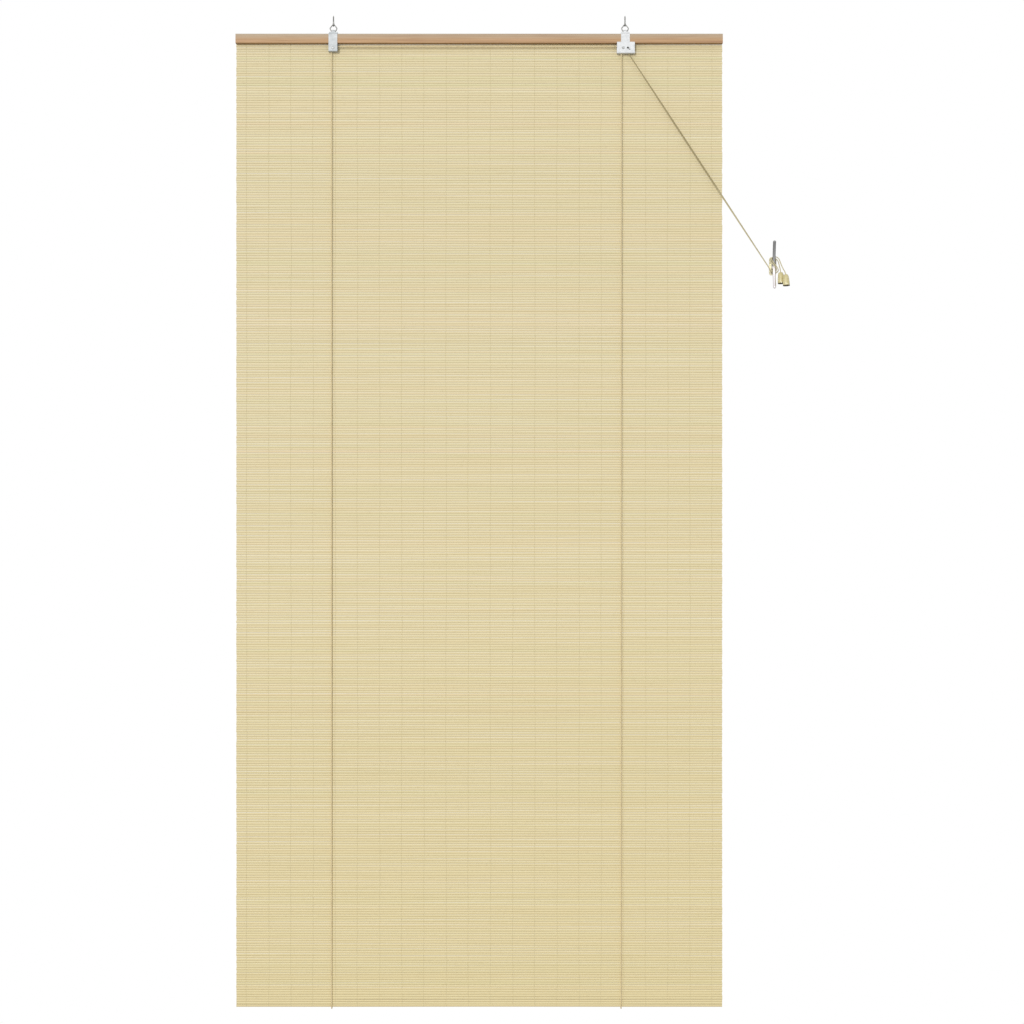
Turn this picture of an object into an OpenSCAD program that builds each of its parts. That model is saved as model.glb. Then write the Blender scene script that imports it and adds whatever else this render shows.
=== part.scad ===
// Roll-up blind of bamboo slats with a cord lock, a pulley, hanging rings and a wall cleat.
// Sizes are in millimetres. X runs to the right, Y towards the wall and Z up.
// The origin is midway between the two screw hooks, where their threads enter the ceiling.

/* [Blind] */
// Width of the headrail and of the mat
blind_width = 800; // [560:10:1200]
// Height from the top of the headrail to the last slat
blind_drop = 1600; // [1000:40:2200]
// Distance between the two screw hooks
hook_spacing = 480; // [320:10:520]
// How far the top of the headrail hangs below the ceiling
hang_drop = 23; // [22:0.5:40]

/* [Headrail] */
// Height of the headrail
rail_height = 15.5; // [15:0.5:24]
// Depth of the headrail
rail_depth = 9; // [8.5:0.5:14]
// Rounding of the headrail's long edges
rail_edge = 1.2; // [1:0.1:2]

/* [Slat mat] */
// Distance from slat to slat
slat_pitch = 4; // [3:0.5:8]
// Thickness of a slat
slat_thickness = 1.4; // [1.2:0.1:2.4]
// Width of the groove between two slats
groove_width = 1.2; // [0.6:0.1:1.6]
// Depth of the groove on the front
groove_depth = 0.5; // [0.2:0.05:0.7]
// Number of gaps that let light through
gap_count = 96; // [1:1:100]
// Width of a gap
gap_width = 0.4; // [0.2:0.05:0.6]
// Least length of mat left whole beside a gap
gap_margin = 22; // [15:1:60]

/* [Warp threads] */
// Number of warp threads
thread_count = 22; // [10:2:26]
// Distance from the mat's side edges to the outermost threads
thread_edge = 16.75; // [8:0.25:30]
// Width of a thread
thread_width = 0.6; // [0.4:0.1:1]
// How far a thread stands proud of the slats
thread_height = 0.3; // [0.2:0.05:0.5]

/* [Staples] */
// One staple in every how many spaces between threads
staple_every = 2; // [1:1:4]
// Least space between a staple and a strap
staple_space = 3; // [1:0.5:8]
// Length of a staple's crown
staple_crown = 10; // [6:0.5:14]
// Thickness of the staple wire
staple_wire = 0.7; // [0.5:0.1:1]
// How deep the legs go into the headrail
staple_bite = 6; // [3:0.5:8]
// Which slat from the top the staples pass through
staple_slat = 3; // [2:1:4]

/* [Bottom batten] */
// Height of the batten
batten_height = 14; // [8:1:30]
// Depth of the batten
batten_depth = 6; // [4:0.5:10]
// Rounding of the batten's long edges
batten_edge = 1; // [0.5:0.1:1.8]
// How far the batten stays above the mat's lower edge
batten_lift = 1; // [0.5:0.5:5]

/* [Screw hooks] */
// Thickness of the hook wire
hook_wire = 2.2; // [1.8:0.1:2.6]
// Radius of the hook's bend to the middle of the wire
hook_bend = 3.4; // [3.2:0.1:4.5]
// How far round the hook goes in degrees
hook_sweep = 280; // [250:5:285]
// Length of plain shank below the ceiling
hook_shank = 1.2; // [1:0.1:5]
// Length of thread in the ceiling
hook_thread = 7; // [5:1:20]
// Outer diameter of the hook's thread
hook_thread_size = 2.4; // [2.3:0.1:3]
// Length of the thread's point
hook_point = 2; // [1:0.5:4]

/* [Hanging rings] */
// Thickness of the ring wire
ring_wire = 1.8; // [1.4:0.1:1.9]
// Length of the ring's lower bar between its corners
ring_bar = 8; // [7.4:0.2:9]
// Width of the ring at its shoulders
ring_width = 11.5; // [11:0.5:16]
// Height of the shoulders above the bar
ring_shoulder = 4.5; // [4:0.5:8]
// Radius of the ring's corners to the middle of the wire
ring_bend = 1.6; // [1.2:0.1:2]
// Space between ring and hook where one hangs in the other
ring_slack = 0.1; // [0.05:0.05:0.3]
// Space between the ends of the bent wire, in the knuckle
ring_joint = 0.3; // [0.1:0.1:0.8]

/* [Straps] */
// Thickness of the strap steel
strap_thickness = 0.9; // [0.7:0.1:1.2]
// Width of the straps over the headrail
strap_width = 14.4; // [13:0.2:18]
// Outer radius of the strap's folds
strap_fold = 1.4; // [1.3:0.1:1.9]
// Space between the ring's bar and the knuckle
knuckle_slack = 0.1; // [0.05:0.01:0.1]
// Height of the knuckle's axis above the headrail
knuckle_rise = 6.6; // [4:0.1:7]
// Space beside the ring's legs in the knuckle
knuckle_notch = 0.3; // [0.2:0.05:0.4]
// Space between the mat and the trough
trough_gap = 1; // [0.6:0.1:2]
// How far the ear lies below the headrail's top
ear_drop = 13; // [11.5:0.5:16]
// How far the ear reaches past its cord hole
ear_rim = 3.2; // [2:0.1:5]
// Depth of the left trough below the pulley's axis
left_trough = 5.8; // [5.6:0.1:9]

/* [Cord lock] */
// Depth of the lock's trough below the pulley's axis
lock_trough = 9; // [8.4:0.1:12]
// How far the lock reaches to the left of its hook
lock_left = 13.8; // [11:0.1:16]
// How far the lock reaches to the right of its hook
lock_right = 15.4; // [14.5:0.1:20]
// Height of the lock's wide part above the pulley's axis
lock_rise = 10; // [7:0.1:14]
// How far the lock's pulley lies to the left of the hook
lock_offset = 3.5; // [1:0.1:4]
// Diameter of the locking roller
roller_size = 4.8; // [4:0.1:5.4]
// Diameter of the roller's axle
roller_axle = 2.2; // [1.6:0.1:2.6]
// Number of flutes on the roller
roller_flutes = 12; // [6:1:18]
// Travel of the roller along its slots
roller_travel = 4; // [2:0.1:5]
// Slope of the roller's slots in degrees
roller_slope = 36; // [30:1:50]
// Space round the roller's axle in its slots
roller_slack = 0.3; // [0.2:0.05:0.4]
// How far the axle stands out of the strap
axle_end = 0.7; // [0.4:0.1:1.5]

/* [Pulleys] */
// How far the pulleys' axis lies below the headrail
pulley_drop = 8.1; // [5:0.1:10]
// Radius of the cord's path round a pulley
cord_track = 3; // [2.8:0.1:3.2]
// Space between a pulley and the strap beside it
pulley_side = 0.3; // [0.2:0.05:0.5]
// Distance between the lock pulley's two grooves
groove_pitch = 2.3; // [2.2:0.1:2.6]
// Diameter of the pulleys' rivets
pin_size = 2.4; // [1.8:0.1:2.6]
// Space between rivet and pulley
pin_slack = 0.06; // [0.03:0.01:0.1]
// Diameter of the rivets' front heads
pin_head = 4.4; // [3.4:0.1:5]
// Thickness of the rivets' heads
pin_head_height = 0.6; // [0.4:0.1:0.8]

/* [Bracket screws] */
// Diameter of the screws' shanks
screw_size = 2.5; // [2:0.1:3]
// Diameter of the screws' heads
screw_head = 5; // [4:0.1:6]
// Height of the screws' heads
screw_head_height = 1.5; // [1:0.1:2]
// How deep the screws go into the headrail
screw_bite = 6.5; // [4:0.5:7]
// How far the screws lie below the headrail's top
screw_drop = 6; // [4.5:0.5:8]

/* [Cords] */
// Diameter of the cords
cord_size = 1.6; // [1.2:0.1:1.6]
// Space round a cord in a hole
cord_slack = 0.3; // [0.2:0.05:0.5]
// Space between lift cord and pull cord on top of the lock's pulley
cord_joint = 0.3; // [0.2:0.1:0.5]

/* [Wall cleat] */
// Where the cleat's middle lies to the right of the blind's middle
cleat_x = 485; // [460:1:560]
// How far the cleat's middle lies below the ceiling
cleat_drop = 402; // [340:1:460]
// Distance from the hooks' line to the wall
wall_gap = 14; // [13:0.5:40]
// Thickness of the cleat's horns
horn_size = 5; // [4:0.1:5]
// Length of the horns from tip to tip
horn_length = 79; // [64:1:100]
// Radius that the horns are bent to
horn_bend = 117; // [90:1:200]
// Height of the horns' middle in front of the wall
horn_height = 17; // [15:0.5:30]
// Width of the cleat's post
post_width = 7; // [5:0.2:7]
// Height of the cleat's post along the wall
post_height = 11; // [8:0.5:11.5]
// Width of the cleat's base
base_width = 12; // [10:0.5:18]
// Height of the cleat's base along the wall
base_height = 30; // [29:0.5:50]
// Thickness of the cleat's base
base_thickness = 2.2; // [1.8:0.1:3]
// Distance between the cleat's screws
cleat_screw_spacing = 20; // [19:0.5:24]
// Diameter of the cleat's screws
cleat_screw = 3; // [2.4:0.1:3.4]
// Diameter of the cleat screws' threads
cleat_thread_size = 2.8; // [2.2:0.1:2.9]
// Diameter of the cleat screws' heads
cleat_screw_head = 5.6; // [4.5:0.1:6.5]
// Length of the cleat's screws behind the wall's face
cleat_screw_bite = 14; // [10:1:30]

/* [Cord knobs] */
// Height of a cord knob
knob_height = 19; // [17:0.5:26]
// Largest diameter of a cord knob
knob_size = 11.4; // [9:0.2:11.6]
// Diameter of a cord knob's top
knob_top = 4.8; // [4:0.1:6]
// Diameter of the hole for the cord
knob_hole = 2.2; // [2:0.1:2.8]
// Depth of the hollow under a knob
knob_hollow = 6.5; // [5:0.1:9]
// Thickness of the knob's rim
knob_rim = 1.3; // [1:0.1:2]

/* [Hidden] */
// Fineness of round faces
$fn = 48;
// Names of the sub-parts that the file can draw
// Sub-part to draw, or all of them

// Small overlap of a cutting shape past the face that it opens
past = 0.5;
// Space between a cord and the batten behind it, and between a cord's loop and the mat
cord_behind = 0.5;
loop_space = 0.7;
// How far the middle of a cord's loop lies above the mat's lower edge
loop_lift = 2;
// Play of a cord in a pulley's groove, and how far the flange stands above it
groove_play = 0.3;
flange_rim = 0.1;
// Distance along the cord from the pulley to the locked roller, and the space beside it
roller_reach = 3.6;
roller_space = 0.15;
// Side of the square slot for the two pull cords in the lock's floor
exit_slot = 4.8;
// Size of the flutes on the roller
flute = 0.5;
// Taper of a rivet's or screw's head, and length and tip of a screw's point
rivet_taper = 1.2;
rivet_tail_step = 0.8;
head_taper = 1.6;
screw_point = 1.5;
screw_tip = 0.4;
cleat_head_height = 1.4;
cleat_point = 3;
// Length of straight cord under a knot, on an ear and in a knob
ear_lead = 3;
knob_lead = 0.8;
// Rounded corners of the cleat's post and base
post_corner = 2;
base_corner = 4;
// Space under the ring's corners in the notches of the knuckle
notch_under = 0.6;
// Steps of the wall inside a knob
knob_step = 0.6;

// Spacing of what repeats across the blind
thread_pitch = (blind_width - 2 * thread_edge) / (thread_count - 1);
staple_clear = strap_width / 2 + staple_crown / 2 + staple_space;
staple_places = [for (i = [0:staple_every:thread_count - 2])
    let (x = (i - (thread_count - 2) / 2) * thread_pitch)
    if (abs(abs(x) - hook_spacing / 2) > staple_clear) x];

// Heights
rail_top = -hang_drop;
rail_bottom = rail_top - rail_height;
slat_count = round(blind_drop / slat_pitch);
mat_bottom = rail_top - slat_count * slat_pitch;
knuckle_z = rail_top + knuckle_rise;
ear_top = rail_top - ear_drop;
pulley_z = rail_bottom - pulley_drop;

// Depths
mat_half = slat_thickness / 2;
mat_face = mat_half + thread_height;
rail_back = -mat_face;
rail_front = rail_back - rail_depth;
strap_front = rail_front - strap_thickness;
cheek_back = -mat_face - trough_gap;
cheek_front = cheek_back - strap_thickness;
leg_back = mat_face + strap_thickness;
trough_middle = (rail_front + cheek_front) / 2;
pulley_width = cheek_front - rail_front - 2 * pulley_side;
batten_back = mat_face + batten_depth;
cord_back = batten_back + cord_size / 2 + cord_behind;
ear_end = cord_back + ear_rim;

// Knuckle round the ring's bar, and the notches in it for the ring's legs
knuckle_in = ring_wire / 2 + knuckle_slack;
knuckle_out = knuckle_in + strap_thickness;
ring_lean = atan2(ring_shoulder, (ring_width - ring_bar) / 2);
notch_from = ring_bar / 2 - ring_bend * tan(ring_lean / 2) - knuckle_notch;
notch_floor = knuckle_z - knuckle_in - notch_under;

// Floors of the two troughs
left_floor = pulley_z - left_trough;
lock_floor = pulley_z - lock_trough;

// Places across the blind
left_x = -hook_spacing / 2;
right_x = hook_spacing / 2;
lock_x = right_x - lock_offset;
left_cord_x = left_x - cord_track;
right_cord_x = lock_x - cord_track;
groove_front = trough_middle - groove_pitch / 2;
groove_back = trough_middle + groove_pitch / 2;

// Pulley radii: the cord lies in the groove with a little space below it
groove_floor = cord_track - cord_size / 2 - groove_play;
pulley_flange = cord_track + cord_size / 2 + flange_rim;
groove_width_cord = cord_size + groove_play;

// Cleat: its middle, its horns and the front of its base
cleat_z = -cleat_drop;
horn_y = wall_gap - horn_height;
base_front = wall_gap - base_thickness;
horn_bead = 0.2;
horn_angle = asin((horn_length - horn_size - horn_bead) / 2 / horn_bend);

// Pull cords on the cleat, as steps from its middle: the lead to the lower horn and the tail to
// the knob. The turn between them is worked out below, with the second cord beside the first.
left_lead = [[-8.6, -1.2, -4.4], [-6.9, 1, -7.8]];
right_lead = [[-7.8, -3.4, -6.6], [-5.4, -0.2, -10.4]];
left_tail = [[5.6, -1, 7.4], [7.4, -1.8, 2.6], [9, -1.4, -3.4], [10.3, -0.6, -8.4]];
right_tail = [[8, -1.8, 9.4], [9.9, -3.6, 3.6], [13, -6.2, -5], [16.4, -8.3, -12]];

// The turn goes behind the lower horn, slants up across the front and goes behind the upper horn
turn_from = 165;
turn_to = 390;
turn_step = 15;
// Distance of the first pass from the cleat's middle, its growth, and the swing to the sides
turn_reach = 10;
turn_growth = 1.6;
turn_side = 5.4;
// Space behind the horns and in front of them, and how much further forward each crossing lies
turn_space = 0.3;
turn_front_space = 0.6;
turn_layer = 1;
// How far the second cord lies beyond the first along a horn, and beside it on the front
pair_reach = 2.3;
pair_side = 2.8;

// Slant of the pull cords, and the place of the roller when it locks and when it is free
aim = [cleat_x + left_lead[0][0], cleat_z + left_lead[0][2]];
pull_slant = atan2(aim[0] - lock_x - cord_track, pulley_z - aim[1]);
pull_way = [sin(pull_slant), -cos(pull_slant)];
pull_side = [cos(pull_slant), sin(pull_slant)];
leave = [lock_x, pulley_z] + cord_track * pull_side;
exit_x = leave[0] + (leave[1] - lock_floor) * tan(pull_slant);
roller_off = roller_size / 2 + cord_size / 2 + roller_space;
roller_locked = leave + roller_reach * pull_way + roller_off * pull_side;
roller_free = roller_locked + roller_travel * [cos(roller_slope), -sin(roller_slope)];

// Ring and hook meet here: the ring's crown goes round the bottom of the hook's wire
hook_centre_z = -hook_shank - hook_bend;
hook_low_z = hook_centre_z - hook_bend;
crown_bend = hook_wire / 2 + ring_wire / 2 + ring_slack;

// Lowest point of the cords' loops round the mat's edge
loop_front = -mat_face - cord_size / 2 - loop_space;
loop_radius = (cord_back - loop_front) / 2;
loop_middle = (cord_back + loop_front) / 2;
loop_z = mat_bottom + loop_lift;

// A knot is a run of rings: height above its seat and radius in cord radii
knot = [[4.2, 0.5], [3.7, 1.7], [2.4, 2.3], [1.1, 2], [0.4, 1]];

// Cord knobs: their tops as steps from the cleat's middle, and their tilt to the right
left_knob = [10.9, 0, -12];
right_knob = [18, -9.2, -16.6];
left_knob_tilt = 3;
right_knob_tilt = 3;

// Bell shape of a knob: share of its height from the top and share of the flare's width
bell = [[0, 0], [0.03, 0.25], [0.08, 0.45], [0.15, 0.58], [0.25, 0.69], [0.37, 0.78], [0.5, 0.86],
    [0.62, 0.92], [0.74, 0.97], [0.84, 1], [0.92, 1], [0.97, 0.96], [1, 0.88]];
bell_foot = bell[len(bell) - 1][1];

function unit(v) = v / norm(v);
function arc(centre, radius, from, to, steps) =
    [for (i = [0:steps]) centre + radius * [cos(from + (to - from) * i / steps),
        sin(from + (to - from) * i / steps)]];
function flat_x(points, x) = [for (p = points) [x, p[0], p[1]]];
function flat_y(points, y) = [for (p = points) [p[0], y, p[1]]];
function with_radius(points, r) = [for (p = points) [p[0], p[1], p[2], r]];
function place(p) = [p[0], p[1], p[2]];
function from_cleat(p) = [cleat_x, horn_y, cleat_z] + p;
function down_knob(tilt) = [sin(tilt), 0, -cos(tilt)];

// A point of the turn on the cleat: the angle runs twice as fast across the horns as along them,
// which gives a figure of eight that passes behind the horns and in front of the post
function turn_point(cord, angle) =
    let (reach = turn_reach + pair_reach * cord + turn_growth * (angle - 180) / 180,
        back = (horn_size + cord_size) / 2 + turn_space,
        front = (horn_size + cord_size) / 2 + turn_front_space + turn_layer * (angle - 270) / 180)
    [turn_side * sin(2 * angle) + pair_side * (cord - 0.5),
        (back - front) / 2 + (back + front) / 2 * cos(2 * angle), reach * cos(angle)];
function wound(cord, lead, tail) = concat(lead,
    [for (angle = [turn_from:turn_step:turn_to]) turn_point(cord, angle)], tail);

// A tube along a route of points with radii: direction at each ring, a side vector carried
// from ring to ring without twist, and the corners of each ring
cord_sides = 8;
wire_sides = 12;
function heading(route, i) = let (last = len(route) - 1,
    before = i == 0 ? place(route[0]) : place(route[i - 1]),
    after = i == last ? place(route[last]) : place(route[i + 1]),
    here = place(route[i]))
    i == 0 ? unit(after - here)
    : i == last ? unit(here - before)
    : unit(unit(here - before) + unit(after - here));
function square_to(v, along) = unit(v - (v * along) * along);
function side_vectors(route, first) =
    [for (i = 0, v = square_to(first, heading(route, 0)); i < len(route);
        i = i + 1, v = i < len(route) ? square_to(v, heading(route, i)) : v) v];
function ring_points(p, along, side, sides) = let (other = cross(along, side))
    [for (k = [0:sides - 1]) place(p) + p[3] * (side * cos(360 * k / sides)
        + other * sin(360 * k / sides))];

module tube(route, first, sides) {
    vectors = side_vectors(route, first);
    count = len(route);
    corners = [for (i = [0:count - 1])
        for (p = ring_points(route[i], heading(route, i), vectors[i], sides)) p];
    walls = [for (i = [0:count - 2]) for (k = [0:sides - 1])
        let (a = i * sides, b = a + sides, n = (k + 1) % sides)
        each [[a + k, b + k, b + n], [a + k, b + n, a + n]]];
    start = [for (k = [0:sides - 1]) k];
    finish = [for (k = [sides - 1:-1:0]) (count - 1) * sides + k];
    polyhedron(points = corners, faces = concat([start], walls, [finish]));
}

// Turns a flat drawing of Y and Z into a solid along X
module along_x(from, to) {
    translate([from, 0, 0])
        rotate([90, 0, 90])
            linear_extrude(height = to - from)
                children();
}

// A cylinder along Y
module rod_y(x, z, size, from, to) {
    translate([x, from, z])
        rotate([-90, 0, 0])
            cylinder(d = size, h = to - from);
}

module rectangle(left, low, right, high) {
    translate([left, low])
        square([right - left, high - low]);
}

module rounded_rectangle(left, low, right, high, edge) {
    rectangle(left + edge, low, right - edge, high);
    rectangle(left, low + edge, right, high - edge);
    for (x = [left + edge, right - edge])
        for (z = [low + edge, high - edge])
            translate([x, z])
                circle(r = edge);
}

// A quarter fold of strap steel in the corner that the two signs point to
module fold(y, z, y_sign, z_sign) {
    translate([y, z])
        intersection() {
            difference() {
                circle(r = strap_fold);
                circle(r = strap_fold - strap_thickness);
            }
            translate([y_sign < 0 ? -strap_fold : 0, z_sign < 0 ? -strap_fold : 0])
                square(strap_fold);
        }
}

module staple_legs(reach) {
    for (x = staple_places)
        for (end = [-1, 1])
            translate([x
                + end * (staple_crown - staple_wire) / 2 - staple_wire / 2,
                rail_back - staple_bite,
                rail_top - (staple_slat - 0.5) * slat_pitch - staple_wire / 2])
                cube([staple_wire, reach, staple_wire]);
}

module screw_shanks() {
    for (x = [left_x, right_x])
        rod_y(x, rail_top - screw_drop, screw_size, rail_back - screw_bite, leg_back);
}

module headrail() {
    color([0.55, 0.38, 0.22])
        difference() {
            along_x(-blind_width / 2, blind_width / 2)
                rounded_rectangle(rail_front, rail_bottom, rail_back, rail_top, rail_edge);
            staple_legs(staple_bite + past);
            screw_shanks();
        }
}

// Outline of the mat from the side: a ridge for each slat in front, and a flat back
function slat_ridges() = [for (i = [0:slat_count - 1]) let (top = rail_top - i * slat_pitch,
    low = top - slat_pitch)
    each [[groove_depth - mat_half, top], [-mat_half, top - groove_width / 2],
        [-mat_half, low + groove_width / 2]]];
function backwards(list) = [for (i = [len(list) - 1:-1:0]) list[i]];

module mat_gaps() {
    step = (slat_count - 12) / max(gap_count, 1);
    for (i = [0:gap_count - 1]) {
        row = 8 + floor(i * step) + [0, 2, 1, 3][i % 4] % max(1, floor(step));
        left = -blind_width / 2 + gap_margin + (i * 37) % 90;
        right = blind_width / 2 - gap_margin - (i * 53) % 110;
        translate([left, -mat_half - past, rail_top - row * slat_pitch - gap_width / 2])
            cube([right - left, slat_thickness + 2 * past, gap_width]);
    }
}

module bamboo_mat() {
    color([0.82, 0.74, 0.53])
        difference() {
            along_x(-blind_width / 2, blind_width / 2)
                polygon(concat(slat_ridges(), [[groove_depth - mat_half, mat_bottom],
                    [mat_half, mat_bottom], [mat_half, rail_top]]));
            mat_gaps();
            staple_legs(staple_bite + rail_depth);
            screw_shanks();
        }
}

module warp_threads() {
    color([0.86, 0.82, 0.70])
        for (i = [0:thread_count - 1]) {
            x = (i - (thread_count - 1) / 2) * thread_pitch - thread_width / 2;
            for (y = [-mat_face, mat_half])
                translate([x, y, mat_bottom])
                    cube([thread_width, thread_height, rail_top - mat_bottom]);
        }
}

module mat_staples() {
    color([0.70, 0.70, 0.68]) {
        staple_legs(staple_bite + mat_face + mat_half);
        for (x = staple_places)
            translate([x
                - staple_crown / 2, mat_half,
                rail_top - (staple_slat - 0.5) * slat_pitch - staple_wire / 2])
                cube([staple_crown, staple_wire, staple_wire]);
    }
}

module bottom_batten() {
    color([0.60, 0.43, 0.26])
        along_x(-blind_width / 2, blind_width / 2)
            rounded_rectangle(mat_face, mat_bottom + batten_lift, batten_back,
                mat_bottom + batten_lift + batten_height, batten_edge);
}

// Side view of a strap: ear, rear leg, knuckle, top, front leg, floor and cheek
module strap_side(floor_z) {
    inner = strap_fold - strap_thickness;
    ear_low = ear_top - strap_thickness;
    rectangle(mat_face + strap_fold, ear_low, ear_end, ear_top);
    fold(mat_face + strap_fold, ear_top + inner, -1, -1);
    rectangle(mat_face, ear_top + inner, leg_back, rail_top + strap_thickness);
    rectangle(min(mat_face, knuckle_in), rail_top, max(leg_back, knuckle_out), rail_top + strap_thickness);
    rectangle(knuckle_in, rail_top, knuckle_out, knuckle_z);
    translate([0, knuckle_z])
        intersection() {
            difference() {
                circle(r = knuckle_out);
                circle(r = knuckle_in);
            }
            translate([-knuckle_out, 0])
                square([2 * knuckle_out, knuckle_out]);
        }
    rectangle(-knuckle_out, rail_top, -knuckle_in, knuckle_z);
    rectangle(strap_front + strap_fold, rail_top, -knuckle_in, rail_top + strap_thickness);
    fold(strap_front + strap_fold, rail_top - inner, -1, 1);
    rectangle(strap_front, floor_z + strap_fold, rail_front, rail_top - inner);
    fold(strap_front + strap_fold, floor_z + strap_fold, -1, -1);
    rectangle(strap_front + strap_fold, floor_z, cheek_back - strap_fold, floor_z + strap_thickness);
    fold(cheek_back - strap_fold, floor_z + strap_fold, 1, -1);
    rectangle(cheek_front, floor_z + strap_fold, cheek_back, rail_bottom - pulley_side);
}

// What is cut from both straps: notches for the ring's legs, the screw hole and the ear's hole
module strap_cuts(x, cord_x) {
    for (left = [x - strap_width / 2 - past, x + notch_from])
        translate([left, -knuckle_out - past, notch_floor])
            cube([strap_width / 2 + past - notch_from, 2 * knuckle_out + 2 * past, -notch_floor]);
    rod_y(x, rail_top - screw_drop, screw_size, 0, leg_back + past);
    translate([cord_x, cord_back, ear_top - strap_thickness - past])
        cylinder(d = cord_size + 2 * cord_slack, h = strap_thickness + 2 * past);
}

module pin_hole(x) {
    rod_y(x, pulley_z, pin_size, strap_front - past, cheek_back + past);
}

module cord_hole(x, y, floor_z) {
    translate([x, y, floor_z - past])
        cylinder(d = cord_size + 4 * cord_slack, h = strap_thickness + 2 * past);
}

module left_bracket() {
    color([0.80, 0.81, 0.80])
        difference() {
            along_x(left_x - strap_width / 2, left_x + strap_width / 2)
                strap_side(left_floor);
            strap_cuts(left_x, left_cord_x);
            pin_hole(left_x);
            cord_hole(left_cord_x, trough_middle, left_floor);
        }
}

// A sloping slot for the roller's axle, through front and cheek
module roller_slot() {
    width = roller_axle + 2 * roller_slack;
    translate([0, cheek_back + past, 0])
        rotate([90, 0, 0])
            linear_extrude(height = cheek_back - strap_front + 2 * past) {
                for (p = [roller_locked, roller_free])
                    translate(p)
                        circle(d = width);
                translate(roller_locked)
                    rotate(-roller_slope)
                        translate([0, -width / 2])
                            square([roller_travel, width]);
            }
}

module lock_housing() {
    wide_top = pulley_z + lock_rise;
    left_end = right_x - lock_left;
    right_end = right_x + lock_right;
    color([0.80, 0.81, 0.80])
        difference() {
            along_x(left_end, right_end)
                strap_side(lock_floor);
            for (x = [left_end - past, right_x + strap_width / 2]) {
                far = x < right_x ? right_x - strap_width / 2 : right_end + past;
                translate([x, strap_front - past, wide_top])
                    cube([far - x, ear_end - strap_front + 2 * past, -wide_top]);
                translate([x, 0, lock_floor])
                    cube([far - x, ear_end + past, -lock_floor]);
            }
            strap_cuts(right_x, right_cord_x);
            pin_hole(lock_x);
            roller_slot();
            cord_hole(right_cord_x, groove_front, lock_floor);
            translate([exit_x - exit_slot / 2, trough_middle - exit_slot / 2, lock_floor - past])
                cube([exit_slot, exit_slot, strap_thickness + 2 * past]);
        }
}

// A pulley turned from one bar, with a groove at each depth in the list
module pulley(x, grooves) {
    difference() {
        rod_y(x, pulley_z, 2 * pulley_flange, rail_front + pulley_side, cheek_front - pulley_side);
        for (y = grooves)
            difference() {
                rod_y(x, pulley_z, 2 * pulley_flange + past, y - groove_width_cord / 2,
                    y + groove_width_cord / 2);
                rod_y(x, pulley_z, 2 * groove_floor, y - groove_width_cord, y + groove_width_cord);
            }
        rod_y(x, pulley_z, pin_size + 2 * pin_slack, strap_front, cheek_back);
    }
}

module left_pulley() {
    color([0.90, 0.89, 0.85])
        pulley(left_x, [trough_middle]);
}

module lock_pulley() {
    color([0.90, 0.89, 0.85])
        pulley(lock_x, [groove_front, groove_back]);
}

module pin(x) {
    rod_y(x, pulley_z, pin_size, strap_front - pin_head_height, cheek_back + pin_head_height);
    translate([x, strap_front, pulley_z])
        rotate([90, 0, 0])
            cylinder(d1 = pin_head, d2 = pin_head - rivet_taper, h = pin_head_height);
    rod_y(x, pulley_z, pin_head - rivet_tail_step, cheek_back, cheek_back + pin_head_height);
}

module left_pulley_pin() {
    color([0.68, 0.68, 0.67])
        pin(left_x);
}

module lock_pulley_pin() {
    color([0.68, 0.68, 0.67])
        pin(lock_x);
}

module lock_roller() {
    low = rail_front + pulley_side;
    color([0.62, 0.62, 0.61])
        union() {
            rod_y(roller_free[0], roller_free[1], roller_axle, strap_front - axle_end,
                cheek_back + axle_end);
            translate([roller_free[0], low + pulley_width, roller_free[1]])
                rotate([90, 0, 0])
                    linear_extrude(height = pulley_width)
                        difference() {
                            circle(d = roller_size);
                            for (i = [0:roller_flutes - 1])
                                rotate(i * 360 / roller_flutes)
                                    translate([roller_size / 2, 0])
                                        rotate(45)
                                            square(flute, center = true);
                        }
        }
}

module bracket_screws() {
    color([0.72, 0.72, 0.70])
        for (x = [left_x, right_x]) {
            point_y = rail_back - screw_bite + screw_point;
            rod_y(x, rail_top - screw_drop, screw_size, point_y, leg_back);
            translate([x, point_y, rail_top - screw_drop])
                rotate([90, 0, 0])
                    cylinder(d1 = screw_size, d2 = screw_tip, h = screw_point);
            translate([x, leg_back, rail_top - screw_drop])
                rotate([-90, 0, 0])
                    cylinder(d1 = screw_head, d2 = screw_head - head_taper, h = screw_head_height);
        }
}

// Right half of a ring: from the middle of its bar round the corner and shoulder to the crown
function corner(before, here, after, bend, steps) = let (way = unit(here - before),
    next = unit(after - here), turn = atan2(way[0] * next[1] - way[1] * next[0], way * next),
    middle = here - bend * tan(turn / 2) * way + bend * [-way[1], way[0]],
    start = atan2(way[1], way[0]) - 90)
    arc(middle, bend, start, start + turn, steps);
shoulder = [ring_width / 2, knuckle_z + ring_shoulder];
crown_middle = [0, hook_low_z];
crown_angle = acos(crown_bend / norm(shoulder - crown_middle))
    + atan2(shoulder[1] - crown_middle[1], shoulder[0]);
crown_start = crown_middle + crown_bend * [cos(crown_angle), sin(crown_angle)];
bar_end = [ring_bar / 2, knuckle_z];
half_ring = concat([[ring_joint / 2, knuckle_z]],
    corner([0, knuckle_z], bar_end, shoulder, ring_bend, 4),
    corner(bar_end, shoulder, crown_start, ring_bend, 4),
    arc(crown_middle, crown_bend, crown_angle, 90, 4));
whole_ring = concat(half_ring, [for (i = [len(half_ring) - 2:-1:0])
    [-half_ring[i][0], half_ring[i][1]]]);

module ring(x) {
    color([0.74, 0.74, 0.72])
        translate([x, 0, 0])
            tube(with_radius(flat_y(whole_ring, 0), ring_wire / 2), [0, 1, 0], wire_sides);
}

module left_ring() {
    ring(left_x);
}

module right_ring() {
    ring(right_x);
}

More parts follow.
